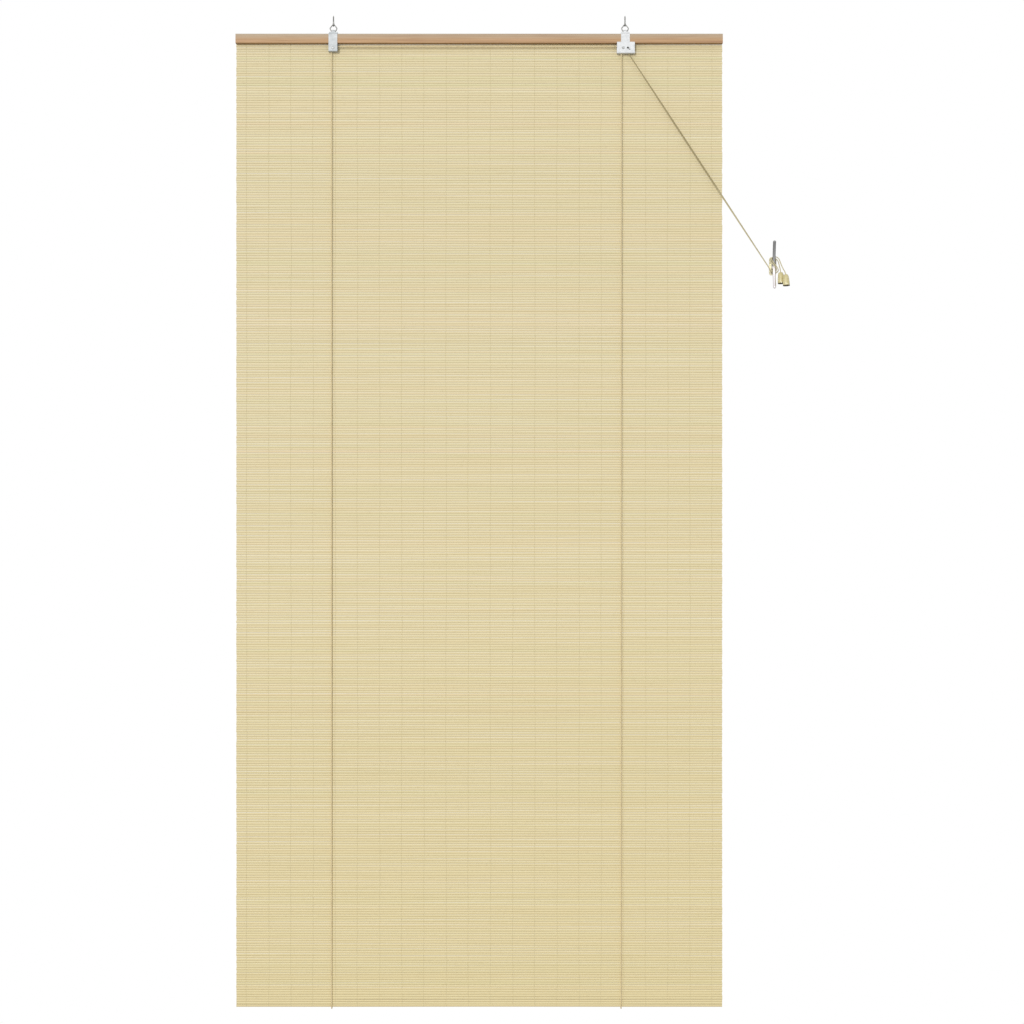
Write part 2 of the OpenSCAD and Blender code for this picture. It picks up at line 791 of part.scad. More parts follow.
module screw_hook(x) {
    color([0.52, 0.52, 0.50])
        translate([x, 0, 0]) {
            translate([0, 0, hook_centre_z + hook_bend])
                cylinder(d1 = hook_wire, d2 = hook_thread_size, h = hook_shank);
            cylinder(d = hook_thread_size, h = hook_thread);
            translate([0, 0, hook_thread])
                cylinder(d1 = hook_thread_size, d2 = screw_tip, h = hook_point);
            translate([0, 0, hook_centre_z])
                rotate([90, 0, 90])
                    rotate([0, 0, 90 - hook_sweep])
                        rotate_extrude(angle = hook_sweep)
                            translate([hook_bend, 0])
                                circle(d = hook_wire);
        }
}

module left_screw_hook() {
    screw_hook(left_x);
}

module right_screw_hook() {
    screw_hook(right_x);
}

// Routes of the lift cords: knot on the ear, down the back, round the lower edge, up the front
// and over the pulley. The left one then runs along the headrail to the lock.
function lift_route(x) = concat(
    [for (k = knot) [x, cord_back, ear_top + k[0], k[1] * cord_size / 2]],
    with_radius(concat([[x, cord_back, ear_top - ear_lead]],
        flat_x(arc([loop_middle, loop_z], loop_radius, 0, -180, 8), x)), cord_size / 2));
function over_pulley(x, y, from, to, steps) =
    with_radius(flat_y(arc([x, pulley_z], cord_track, from, to, steps), y), cord_size / 2);

module left_lift_cord() {
    color([0.62, 0.56, 0.42])
        tube(concat(lift_route(left_cord_x),
            over_pulley(left_x, trough_middle, 180, 90, 5),
            [[lock_x, groove_back, pulley_z + cord_track, cord_size / 2]]), [1, 0, 0], cord_sides);
}

module right_lift_cord() {
    color([0.62, 0.56, 0.42])
        tube(concat(lift_route(right_cord_x),
            over_pulley(lock_x, groove_front, 180, 90, 5)), [1, 0, 0], cord_sides);
}

// Routes of the pull cords: off the lock's pulley, slanting to the cleat, wound on it, into the knob
function knob_route(top, tilt) = concat(
    with_radius([for (d = [0, knob_height - knob_hollow - knob_lead])
        from_cleat(top) + d * down_knob(tilt)], cord_size / 2),
    [for (k = backwards(knot)) let (p = from_cleat(top)
        + (knob_height - knob_hollow + k[0]) * down_knob(tilt))
        [p[0], p[1], p[2], k[1] * cord_size / 2]]);

module pull_cord(groove, wrap, top, tilt) {
    tube(concat(over_pulley(lock_x, groove, 90 - cord_joint / cord_track * 180 / PI, pull_slant, 3),
        with_radius([for (p = wrap) from_cleat(p)], cord_size / 2),
        knob_route(top, tilt)), [0, 1, 0], cord_sides);
}

module left_pull_cord() {
    color([0.62, 0.56, 0.42])
        pull_cord(groove_back, wound(0, left_lead, left_tail), left_knob, left_knob_tilt);
}

module right_pull_cord() {
    color([0.62, 0.56, 0.42])
        pull_cord(groove_front, wound(1, right_lead, right_tail), right_knob, right_knob_tilt);
}

module cord_knob(top, tilt) {
    flare = (knob_size - knob_top) / 2;
    outside = [for (p = bell) [knob_top / 2 + p[1] * flare, -p[0] * knob_height]];
    inside = [[knob_top / 2 + flare * bell_foot - knob_rim, -knob_height],
        [knob_size / 2 - knob_rim - knob_step, -knob_height + knob_hollow * 0.5],
        [knob_top / 2 + knob_step, -knob_height + knob_hollow],
        [knob_hole / 2, -knob_height + knob_hollow], [knob_hole / 2, 0]];
    color([0.88, 0.82, 0.62])
        translate(from_cleat(top))
            rotate([0, -tilt, 0])
                rotate_extrude()
                    polygon(concat(outside, inside));
}

module left_cord_knob() {
    cord_knob(left_knob, left_knob_tilt);
}

module right_cord_knob() {
    cord_knob(right_knob, right_knob_tilt);
}

module wall_cleat() {
    color([0.60, 0.60, 0.60])
        translate([cleat_x, 0, cleat_z])
            difference() {
                union() {
                    translate([0, horn_y - horn_bend, 0])
                        rotate([90, 0, 90])
                            rotate([0, 0, -horn_angle])
                                rotate_extrude(angle = 2 * horn_angle)
                                    translate([horn_bend, 0])
                                        circle(d = horn_size);
                    for (turn = [-horn_angle, horn_angle])
                        translate([0, horn_y - horn_bend, 0])
                            rotate([turn, 0, 0])
                                translate([0, horn_bend, 0])
                                    sphere(d = horn_size + horn_bead);
                    translate([0, base_front + past, 0])
                        rotate([90, 0, 0])
                            linear_extrude(height = base_front + past - horn_y)
                                rounded_rectangle(-post_width / 2, -post_height / 2,
                                    post_width / 2, post_height / 2, post_corner);
                    translate([0, wall_gap, 0])
                        rotate([90, 0, 0])
                            linear_extrude(height = base_thickness)
                                rounded_rectangle(-base_width / 2, -base_height / 2,
                                    base_width / 2, base_height / 2, base_corner);
                }
                for (z = [-1, 1])
                    rod_y(0, z * cleat_screw_spacing / 2, cleat_screw, base_front - past,
                        wall_gap + past);
            }
}

module cleat_screws() {
    color([0.72, 0.72, 0.70])
        for (z = [-1, 1])
            translate([cleat_x, 0, cleat_z + z * cleat_screw_spacing / 2]) {
                point_y = wall_gap + cleat_screw_bite - cleat_point;
                translate([0, base_front, 0])
                    rotate([-90, 0, 0])
                        cylinder(d1 = cleat_screw, d2 = cleat_thread_size, h = base_thickness);
                rod_y(0, 0, cleat_thread_size, wall_gap, point_y);
                translate([0, point_y, 0])
                    rotate([-90, 0, 0])
                        cylinder(d1 = cleat_thread_size, d2 = screw_tip, h = cleat_point);
                translate([0, base_front, 0])
                    rotate([90, 0, 0])
                        cylinder(d1 = cleat_screw_head, d2 = cleat_screw_head - head_taper,
                            h = cleat_head_height);
            }
}

headrail();
bamboo_mat();
warp_threads();
mat_staples();
bottom_batten();
left_bracket();
left_pulley();
left_pulley_pin();
lock_housing();
lock_pulley();
lock_pulley_pin();
lock_roller();
bracket_screws();
left_ring();
right_ring();
left_screw_hook();
right_screw_hook();
left_lift_cord();
right_lift_cord();
left_pull_cord();
right_pull_cord();
left_cord_knob();
right_cord_knob();
wall_cleat();
cleat_screws();
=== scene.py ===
import math

import bmesh
import bpy
import numpy as np
from mathutils import Matrix, Vector


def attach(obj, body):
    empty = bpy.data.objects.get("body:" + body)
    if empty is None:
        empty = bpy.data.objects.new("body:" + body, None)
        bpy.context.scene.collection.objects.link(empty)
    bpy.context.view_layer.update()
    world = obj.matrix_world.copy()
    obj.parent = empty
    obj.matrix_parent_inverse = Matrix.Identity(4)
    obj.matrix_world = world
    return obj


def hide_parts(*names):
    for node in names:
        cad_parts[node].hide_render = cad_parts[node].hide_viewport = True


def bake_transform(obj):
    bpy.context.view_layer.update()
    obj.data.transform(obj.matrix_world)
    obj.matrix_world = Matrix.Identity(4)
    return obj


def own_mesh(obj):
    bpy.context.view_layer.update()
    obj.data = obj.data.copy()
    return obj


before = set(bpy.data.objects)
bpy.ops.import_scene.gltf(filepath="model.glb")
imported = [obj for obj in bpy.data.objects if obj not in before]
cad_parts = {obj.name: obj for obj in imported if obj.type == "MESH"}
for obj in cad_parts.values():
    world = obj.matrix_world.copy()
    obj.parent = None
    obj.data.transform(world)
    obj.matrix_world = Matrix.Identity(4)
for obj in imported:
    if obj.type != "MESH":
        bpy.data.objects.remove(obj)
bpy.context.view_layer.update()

MM = 0.001

# Sizes of the blind, in metres, as the solids have them
BLIND_WIDTH = 0.800
RAIL_TOP = -0.023
RAIL_BOTTOM = -0.0385
SLAT_PITCH = 0.004
SLAT_THICKNESS = 0.0012
SLAT_COUNT = 400
MAT_BOTTOM = RAIL_TOP - SLAT_COUNT * SLAT_PITCH
# Slats that the staples hold behind the headrail, and the height of the lower edge of the last of them
FIXED_SLATS = 4
FIXED_LOW = RAIL_TOP - FIXED_SLATS * SLAT_PITCH
THREAD_COUNT = 22
THREAD_PITCH = 0.0365
CORD_SIZE = 0.0016
PULLEY_Z = -0.0466
CORD_TRACK = 0.003
LEFT_PULLEY_X = -0.240
LOCK_PULLEY_X = 0.2365
TROUGH_MIDDLE_Y = -0.00645
GROOVE_FRONT_Y = -0.0076
GROOVE_BACK_Y = -0.0053
EAR_TOP = -0.036
CORD_BACK_Y = 0.0083
LOOP_MIDDLE_Y = 0.0029
LOOP_Z = -1.621
LOOP_BEND = 0.0054
# Height below which the lift cords are drawn up with the mat
CORD_CUT = PULLEY_Z - 0.030
HOOK_X = 0.240
CLEAT_MIDDLE = Vector((0.485, -0.003, -0.402))
# Thickness of the cleat's horns, in millimetres
HORN_SIZE = 5.0
# Distance between two joints of the bamboo cane along a slat
CANE_JOINT_PITCH = 0.34
# A cord's twist: strands, and the length in which one strand takes the next one's place
CORD_STRANDS = 3
CORD_LAY = 0.0022

# The photograph: millimetres on the mat for each pixel, and what lies at the middle of the frame
MM_PER_PIXEL = 1.6468
FRAME_PIXELS = 1024
VIEW_CENTRE = (0.0539, -0.8083)
CAMERA_DISTANCE = 3.0

# Light and floor
LAMP_STRENGTH = 1.5
LAMP_SPREAD_DEGREES = 9
LAMP_PLACE = (-0.8, -2.6, -0.3)
LAMP_WAY = (0.30, 1.0, -0.14)
SURROUND_LIGHT = 0.58
FLOOR_HALF_SIZE = (2.2, 1.35, 1)
FLOOR_PLACE = (0, -0.65, -1.95)


# Camera, floor and light

def set_camera():
    lens = bpy.data.cameras.new("photo_camera")
    lens.sensor_width = 36.0
    lens.lens = lens.sensor_width * CAMERA_DISTANCE / (MM_PER_PIXEL * FRAME_PIXELS * MM)
    lens.clip_end = 50.0
    camera = bpy.data.objects.new("photo_camera", lens)
    camera.location = (VIEW_CENTRE[0], -CAMERA_DISTANCE, VIEW_CENTRE[1])
    camera.rotation_euler = (math.radians(90), 0, 0)
    bpy.context.scene.collection.objects.link(camera)
    bpy.context.scene.camera = camera


def set_light():
    """A soft lamp in front on the left, an even white surround, and a pale floor below the blind."""
    sun = bpy.data.lights.new("key_lamp", "SUN")
    sun.energy = LAMP_STRENGTH
    sun.angle = math.radians(LAMP_SPREAD_DEGREES)
    key = bpy.data.objects.new("key_lamp", sun)
    key.rotation_euler = Vector(LAMP_WAY).to_track_quat("-Z", "Y").to_euler()
    key.location = LAMP_PLACE
    bpy.context.scene.collection.objects.link(key)

    world = bpy.data.worlds.new("white_surround")
    bpy.context.scene.world = world
    world.use_nodes = True
    tree = world.node_tree
    tree.nodes.clear()
    ray = tree.nodes.new("ShaderNodeLightPath")
    seen = tree.nodes.new("ShaderNodeMath")
    seen.operation = "MAXIMUM"
    tree.links.new(ray.outputs["Is Camera Ray"], seen.inputs[0])
    tree.links.new(ray.outputs["Is Glossy Ray"], seen.inputs[1])
    either = tree.nodes.new("ShaderNodeMath")
    either.operation = "MAXIMUM"
    tree.links.new(seen.outputs[0], either.inputs[0])
    tree.links.new(ray.outputs["Is Transmission Ray"], either.inputs[1])
    fill = tree.nodes.new("ShaderNodeBackground")
    fill.inputs["Color"].default_value = (1, 1, 1, 1)
    fill.inputs["Strength"].default_value = SURROUND_LIGHT
    white = tree.nodes.new("ShaderNodeBackground")
    white.inputs["Color"].default_value = (1, 1, 1, 1)
    white.inputs["Strength"].default_value = 1.0
    choose = tree.nodes.new("ShaderNodeMixShader")
    tree.links.new(either.outputs[0], choose.inputs[0])
    tree.links.new(fill.outputs[0], choose.inputs[1])
    tree.links.new(white.outputs[0], choose.inputs[2])
    out = tree.nodes.new("ShaderNodeOutputWorld")
    tree.links.new(choose.outputs[0], out.inputs["Surface"])

    bm = bmesh.new()
    bmesh.ops.create_grid(bm, x_segments=1, y_segments=1, size=1.0)
    bmesh.ops.scale(bm, vec=FLOOR_HALF_SIZE, verts=bm.verts)
    bmesh.ops.translate(bm, vec=FLOOR_PLACE, verts=bm.verts)
    mesh = bpy.data.meshes.new("studio_floor")
    bm.to_mesh(mesh)
    bm.free()
    pale = bpy.data.materials.new("floor_paint")
    pale.use_nodes = True
    paint = pale.node_tree.nodes["Principled BSDF"]
    paint.inputs["Base Color"].default_value = (0.8, 0.8, 0.8, 1)
    paint.inputs["Roughness"].default_value = 0.9
    mesh.materials.append(pale)
    floor = bpy.data.objects.new("studio_floor", mesh)
    bpy.context.scene.collection.objects.link(floor)


# Helpers for materials

def tint(red, green, blue):
    """A colour read as screen values from 0 to 255, turned into the renderer's linear colour."""
    def linear(c):
        c = c / 255
        return c / 12.92 if c <= 0.04045 else ((c + 0.055) / 1.055) ** 2.4
    return (linear(red), linear(green), linear(blue), 1.0)


def put(tree, socket, value):
    """Links a socket or sets a plain value on an input."""
    if isinstance(value, bpy.types.NodeSocket):
        tree.links.new(value, socket)
    else:
        socket.default_value = value


def calc(tree, operation, a, b=0.0, c=0.0):
    node = tree.nodes.new("ShaderNodeMath")
    node.operation = operation
    for socket, value in zip(node.inputs, (a, b, c)):
        put(tree, socket, value)
    return node.outputs[0]


def blend_colours(tree, factor, a, b):
    node = tree.nodes.new("ShaderNodeMix")
    node.data_type = "RGBA"
    put(tree, node.inputs[0], factor)
    put(tree, node.inputs[6], a)
    put(tree, node.inputs[7], b)
    return node.outputs[2]


def ramp(tree, factor, stops):
    node = tree.nodes.new("ShaderNodeValToRGB")
    put(tree, node.inputs[0], factor)
    elements = node.color_ramp.elements
    while len(elements) < len(stops):
        elements.new(0.5)
    for element, (position, colour) in zip(elements, stops):
        element.position = position
        element.color = colour
    return node.outputs[0]


def spread(tree, value, low, high, to_low, to_high):
    node = tree.nodes.new("ShaderNodeMapRange")
    for name, number in (("From Min", low), ("From Max", high), ("To Min", to_low), ("To Max", to_high)):
        node.inputs[name].default_value = number
    put(tree, node.inputs["Value"], value)
    return node.outputs[0]


def noise(tree, vector, scale, detail=3.0, rough=0.55):
    node = tree.nodes.new("ShaderNodeTexNoise")
    put(tree, node.inputs["Vector"], vector)
    put(tree, node.inputs["Scale"], scale)
    node.inputs["Detail"].default_value = detail
    node.inputs["Roughness"].default_value = rough
    return node.outputs["Fac"]


def stretched(tree, vector, scale, place=(0, 0, 0)):
    node = tree.nodes.new("ShaderNodeMapping")
    put(tree, node.inputs["Vector"], vector)
    node.inputs["Scale"].default_value = scale
    node.inputs["Location"].default_value = place
    return node.outputs[0]


def object_place(tree):
    return tree.nodes.new("ShaderNodeTexCoord").outputs["Object"]


def surface_map(tree, name):
    node = tree.nodes.new("ShaderNodeUVMap")
    node.uv_map = name
    return node.outputs[0]


def piece_value(tree, name):
    node = tree.nodes.new("ShaderNodeAttribute")
    node.attribute_name = name
    return node.outputs["Fac"]


def bump(tree, shader, height, strength, distance):
    node = tree.nodes.new("ShaderNodeBump")
    node.inputs["Strength"].default_value = strength
    node.inputs["Distance"].default_value = distance
    put(tree, node.inputs["Height"], height)
    tree.links.new(node.outputs[0], shader.inputs["Normal"])


def new_finish(name, metallic=0.0):
    material = bpy.data.materials.new(name)
    material.use_nodes = True
    shader = material.node_tree.nodes["Principled BSDF"]
    shader.inputs["Metallic"].default_value = metallic
    return material, material.node_tree, shader


def new_group(name, inputs, outputs):
    group = bpy.data.node_groups.new(name, "ShaderNodeTree")
    for label, kind, value in inputs:
        socket = group.interface.new_socket(name=label, in_out="INPUT", socket_type=kind)
        if value is not None:
            socket.default_value = value
    for label, kind in outputs:
        group.interface.new_socket(name=label, in_out="OUTPUT", socket_type=kind)
    return group, group.nodes.new("NodeGroupInput"), group.nodes.new("NodeGroupOutput")


def place_group(tree, group, **values):
    node = tree.nodes.new("ShaderNodeGroup")
    node.node_tree = group
    for label, value in values.items():
        put(tree, node.inputs[label.replace("_", " ")], value)
    return node


def make_long_grain():
    """Streaks and fine fibres that run along the first axis of the given place."""
    group, given, result = new_group("long_grain",
        [("Place", "NodeSocketVector", None), ("Streak scale", "NodeSocketFloat", 1.0),
         ("Fibre scale", "NodeSocketFloat", 1.0)],
        [("Streaks", "NodeSocketFloat"), ("Fibres", "NodeSocketFloat")])
    streak_place = stretched(group, given.outputs["Place"], (5, 260, 260))
    fibre_place = stretched(group, given.outputs["Place"], (24, 1900, 1900), (0.3, 0.1, 0.7))
    streaks = noise(group, streak_place, given.outputs["Streak scale"], 3, 0.6)
    fibres = noise(group, fibre_place, given.outputs["Fibre scale"], 2, 0.5)
    group.links.new(spread(group, streaks, 0.3, 0.7, 0, 1), result.inputs["Streaks"])
    group.links.new(spread(group, fibres, 0.28, 0.72, 0, 1), result.inputs["Fibres"])
    return group


def make_handling_wear():
    """Soft smudges and small specks of use."""
    group, given, result = new_group("handling_wear",
        [("Place", "NodeSocketVector", None), ("Smudge scale", "NodeSocketFloat", 90.0),
         ("Speck scale", "NodeSocketFloat", 900.0)],
        [("Smudges", "NodeSocketFloat"), ("Specks", "NodeSocketFloat")])
    smudges = noise(group, given.outputs["Place"], given.outputs["Smudge scale"], 4, 0.6)
    specks = noise(group, given.outputs["Place"], given.outputs["Speck scale"], 2, 0.5)
    group.links.new(spread(group, smudges, 0.35, 0.7, 0, 1), result.inputs["Smudges"])
    group.links.new(spread(group, specks, 0.55, 0.75, 0, 1), result.inputs["Specks"])
    return group


LONG_GRAIN = make_long_grain()
HANDLING_WEAR = make_handling_wear()


# Finishes

def make_rail_wood():
    """Stained wood along the width, with a painted highlight that makes the upper part of the rail paler
    and greyer, and painted shade on the rail's underside."""
    material, tree, shader = new_finish("stained_rail_wood")
    place = object_place(tree)
    grain = place_group(tree, LONG_GRAIN, Place=place, Streak_scale=1.1, Fibre_scale=1.0)
    stain = ramp(tree, grain.outputs["Streaks"], [
        (0.0, tint(168, 126, 92)), (0.35, tint(184, 146, 106)),
        (0.65, tint(194, 156, 112)), (1.0, tint(200, 154, 118))])
    height = tree.nodes.new("ShaderNodeSeparateXYZ")
    put(tree, height.inputs[0], place)
    ragged = calc(tree, "MULTIPLY_ADD", grain.outputs["Streaks"], 4 * MM, height.outputs["Z"])
    # Painted highlight: the wood turns paler and greyer towards the top of the rail
    painted_top_highlight = spread(tree, ragged, RAIL_BOTTOM + 7 * MM, RAIL_TOP + 2 * MM, 0, 0.9)
    stain = blend_colours(tree, painted_top_highlight, stain, tint(188, 174, 150))
    fibre = spread(tree, grain.outputs["Fibres"], 0, 1, 0, 0.3)
    stain = blend_colours(tree, fibre, stain, tint(148, 110, 78))
    # Painted shade: dark on the rail's underside and its lowest fraction of a millimetre
    low = spread(tree, height.outputs["Z"], RAIL_BOTTOM + 0.2 * MM, RAIL_BOTTOM + 0.6 * MM, 0.9, 0)
    on_rail = calc(tree, "GREATER_THAN", height.outputs["Z"], RAIL_BOTTOM - MM)
    painted_underside_shade = calc(tree, "MULTIPLY", low, on_rail)
    put(tree, shader.inputs["Base Color"], blend_colours(tree, painted_underside_shade, stain, tint(138, 102, 60)))
    put(tree, shader.inputs["Roughness"], spread(tree, grain.outputs["Fibres"], 0, 1, 0.48, 0.66))
    bump(tree, shader, grain.outputs["Fibres"], 0.25, 0.0002)
    return material


def make_bamboo():
    """Split bamboo: each slat has its own tone, a painted highlight on its upper edge, painted shade on
    its lower edge, fine fibres and faint joints."""
    material, tree, shader = new_finish("split_bamboo")
    along = surface_map(tree, "slat_map")
    grain = place_group(tree, LONG_GRAIN, Place=along, Streak_scale=1.0, Fibre_scale=1.0)
    tone = ramp(tree, piece_value(tree, "slat_tone"), [
        (0.0, tint(200, 186, 140)), (0.3, tint(217, 204, 161)),
        (0.65, tint(224, 211, 169)), (1.0, tint(236, 225, 188))])
    hue = ramp(tree, piece_value(tree, "slat_hue"), [
        (0.0, tint(214, 213, 162)), (0.4, tint(222, 209, 166)), (0.6, tint(225, 208, 165)),
        (1.0, tint(232, 204, 164))])
    colour = blend_colours(tree, 0.5, tone, hue)
    gold = spread(tree, piece_value(tree, "slat_drop"), 0.3, 1.0, 0, 0.42)
    colour = blend_colours(tree, gold, colour, tint(224, 206, 146))
    streak = spread(tree, grain.outputs["Streaks"], 0.3, 1, 0.0, 0.14)
    colour = blend_colours(tree, streak, colour, tint(204, 186, 138))
    fibre = spread(tree, grain.outputs["Fibres"], 0.4, 1, 0.0, 0.12)
    colour = blend_colours(tree, fibre, colour, tint(190, 168, 120))
    edge = piece_value(tree, "slat_edge")
    # Painted highlight on each slat's upper edge and painted shade on its lower edge
    colour = blend_colours(tree, spread(tree, edge, 0.25, 0.8, 0, 0.4), colour, tint(242, 232, 194))
    colour = blend_colours(tree, spread(tree, edge, -0.35, -0.85, 0, 0.62), colour, tint(168, 148, 100))
    length = tree.nodes.new("ShaderNodeSeparateXYZ")
    put(tree, length.inputs[0], along)
    cell = calc(tree, "FRACT", calc(tree, "DIVIDE", length.outputs["X"], CANE_JOINT_PITCH))
    beside = calc(tree, "ABSOLUTE", calc(tree, "SUBTRACT", cell, 0.5))
    joint = spread(tree, beside, 0.0, 0.006, 0.1, 0.0)
    colour = blend_colours(tree, joint, colour, tint(166, 142, 96))
    put(tree, shader.inputs["Base Color"], colour)
    put(tree, shader.inputs["Roughness"], spread(tree, grain.outputs["Fibres"], 0, 1, 0.5, 0.7))
    bump(tree, shader, grain.outputs["Fibres"], 0.2, 0.00015)
    return material


def make_thread():
    material, tree, shader = new_finish("cotton_thread")
    place = object_place(tree)
    twist = noise(tree, stretched(tree, place, (900, 900, 2600)), 1.0, 2, 0.6)
    put(tree, shader.inputs["Base Color"], ramp(tree, twist, [
        (0.3, tint(212, 199, 156)), (0.7, tint(230, 219, 180))]))
    put(tree, shader.inputs["Roughness"], spread(tree, twist, 0.3, 0.7, 0.95, 0.8))
    bump(tree, shader, twist, 0.4, 0.0001)
    return material


def make_cord(name, light, groove_shade, soil, painted_run_shade_lengths=None):
    """A twisted cord: three strands that wind round its length, with painted shade in the grooves between
    them and flecks of dirt. Where the last argument gives lengths, each with a share, the cord is that
    much darker there; that darkening is painted shade, not dirt."""
    material, tree, shader = new_finish(name)
    cord_place = surface_map(tree, "cord_map")
    parts = tree.nodes.new("ShaderNodeSeparateXYZ")
    tree.links.new(cord_place, parts.inputs[0])
    around = calc(tree, "MULTIPLY", parts.outputs["X"], CORD_STRANDS * 2 * math.pi)
    along = calc(tree, "MULTIPLY", parts.outputs["Y"], 2 * math.pi / CORD_LAY)
    wave = calc(tree, "SINE", calc(tree, "ADD", around, along))
    crest = calc(tree, "MULTIPLY_ADD", wave, 0.5, 0.5)
    fleck = noise(tree, stretched(tree, cord_place, (2.0, 90, 0)), 1.0, 3, 0.6)
    # Painted shade in the grooves between the strands, where the bump dips
    colour = ramp(tree, crest, [(0.0, groove_shade), (0.45, light), (1.0, light)])
    colour = blend_colours(tree, spread(tree, fleck, 0.5, 0.75, 0, 0.6), colour, soil)
    if painted_run_shade_lengths:
        longest = painted_run_shade_lengths[-1][0]
        painted_run_shade = ramp(tree, calc(tree, "DIVIDE", parts.outputs["Y"], longest),
            [(length / longest, (share, share, share, 1)) for length, share in painted_run_shade_lengths])
        # Painted shade along the pull cord's run, darker by the share given for each length
        colour = blend_colours(tree, painted_run_shade, colour, tint(157, 142, 102))
    put(tree, shader.inputs["Base Color"], colour)
    put(tree, shader.inputs["Roughness"], spread(tree, fleck, 0.3, 0.7, 0.75, 0.92))
    bump(tree, shader, crest, 0.7, 0.0003)
    return material


def make_metal(name, bright, dull, rough_low, rough_high, lines=(300, 300, 300)):
    """Plated steel with soft smudges, fine drawing lines and small specks."""
    material, tree, shader = new_finish(name, metallic=1.0)
    place = object_place(tree)
    wear = place_group(tree, HANDLING_WEAR, Place=place, Smudge_scale=160.0, Speck_scale=1400.0)
    colour = blend_colours(tree, wear.outputs["Smudges"], bright, dull)
    speck = spread(tree, wear.outputs["Specks"], 0, 1, 0, 0.35)
    colour = blend_colours(tree, speck, colour, tint(120, 118, 112))
    put(tree, shader.inputs["Base Color"], colour)
    drawn = noise(tree, stretched(tree, place, lines), 4.0, 2, 0.5)
    put(tree, shader.inputs["Roughness"], spread(tree, drawn, 0.3, 0.7, rough_low, rough_high))
    bump(tree, shader, drawn, 0.12, 0.0001)
    return material


def make_cleat_plate():
    """Nickel on the horns, with a painted reflection that is bright on the lower horn and dark grey on the
    upper one, and a pale lacquer on the base and post.
    """
    material, tree, shader = new_finish("nickel_cleat", metallic=1.0)
    place = object_place(tree)
    wear = place_group(tree, HANDLING_WEAR, Place=place, Smudge_scale=160.0, Speck_scale=1400.0)
    where = tree.nodes.new("ShaderNodeSeparateXYZ")
    put(tree, where.inputs[0], place)
    middle = CLEAT_MIDDLE.z
    # Painted reflection: bright below the cleat's middle, dark grey above it
    horn_painted_reflection = ramp(tree, spread(tree, where.outputs["Z"], middle - 12 * MM, middle + 12 * MM, 0, 1), [
        (0.0, tint(222, 217, 218)), (0.3, tint(204, 199, 198)),
        (0.5, tint(132, 131, 128)), (1.0, tint(124, 124, 124))])
    smudge = spread(tree, wear.outputs["Smudges"], 0, 1, 0, 0.2)
    horn_painted_reflection = blend_colours(tree, smudge, horn_painted_reflection, tint(140, 140, 140))
    behind = CLEAT_MIDDLE.y + HORN_SIZE / 2 * MM
    lacquer = spread(tree, where.outputs["Y"], behind + 0.1 * MM, behind + 0.9 * MM, 0, 1)
    put(tree, shader.inputs["Base Color"], blend_colours(tree, lacquer, horn_painted_reflection, tint(196, 190, 164)))
    drawn = noise(tree, stretched(tree, place, (60, 60, 700)), 4.0, 2, 0.5)
    put(tree, shader.inputs["Roughness"], spread(tree, drawn, 0.3, 0.7, 0.36, 0.5))
    bump(tree, shader, drawn, 0.08, 0.0001)
    return material


def make_plastic(name, main, shade, rough, coat):
    material, tree, shader = new_finish(name)
    place = object_place(tree)
    wear = place_group(tree, HANDLING_WEAR, Place=place, Smudge_scale=220.0, Speck_scale=1500.0)
    smudge = spread(tree, wear.outputs["Smudges"], 0, 1, 0, 0.5)
    speck = spread(tree, wear.outputs["Specks"], 0, 1, 0, 0.3)
    colour = blend_colours(tree, smudge, main, shade)
    put(tree, shader.inputs["Base Color"], blend_colours(tree, speck, colour, shade))
    worn = spread(tree, wear.outputs["Smudges"], 0, 1, rough, rough + 0.15)
    put(tree, shader.inputs["Roughness"], worn)
    shader.inputs["Coat Weight"].default_value = coat
    shader.inputs["Coat Roughness"].default_value = 0.12
    bump(tree, shader, wear.outputs["Specks"], 0.1, 0.0001)
    return material


RAIL_WOOD = make_rail_wood()
BAMBOO = make_bamboo()
THREAD = make_thread()
# Lift cord: strand colour, painted shade for the grooves, and the colour of its dirt flecks
LIFT_CORD = make_cord("lift_cord_cotton",
    tint(240, 223, 180), tint(188, 165, 119), tint(184, 160, 114))
# The pull cord's last argument darkens most of its run from the lock with painted shade
PULL_CORD = make_cord("pull_cord_cotton",
    tint(226, 218, 180), tint(158, 142, 96), tint(188, 174, 128),
    ((0.26, 0.8), (0.31, 0.3), (0.40, 0.3), (0.43, 0.0)))
ROLLED_LINES = (40, 40, 900)
ZINC_PLATE = make_metal("zinc_plated_strap",
    tint(189, 192, 193), tint(170, 174, 176), 0.6, 0.72, ROLLED_LINES)
ZINC_LOCK = make_metal("zinc_plated_lock",
    tint(207, 208, 209), tint(193, 195, 196), 0.6, 0.72, ROLLED_LINES)
BRIGHT_WIRE = make_metal("bright_wire", tint(160, 161, 160), tint(126, 127, 126), 0.36, 0.5)
RING_WIRE = make_metal("ring_wire", tint(160, 160, 157), tint(128, 128, 124), 0.4, 0.55)
HOOK_WIRE = make_metal("hook_wire", tint(158, 158, 154), tint(120, 120, 116), 0.35, 0.5)
CLEAT_PLATE = make_cleat_plate()
PULLEY_NYLON = make_plastic("pulley_nylon", tint(226, 224, 214), tint(200, 196, 180), 0.4, 0.0)
KNOB_PLASTIC = make_plastic("knob_plastic", tint(214, 204, 154), tint(182, 166, 106), 0.28, 0.4)
# Painted shade for the inside and the lower rim of the knobs
KNOB_PAINTED_SHADE = make_plastic("knob_hollow", tint(78, 68, 40), tint(50, 42, 24), 0.6, 0.0)


# Helpers for pieces

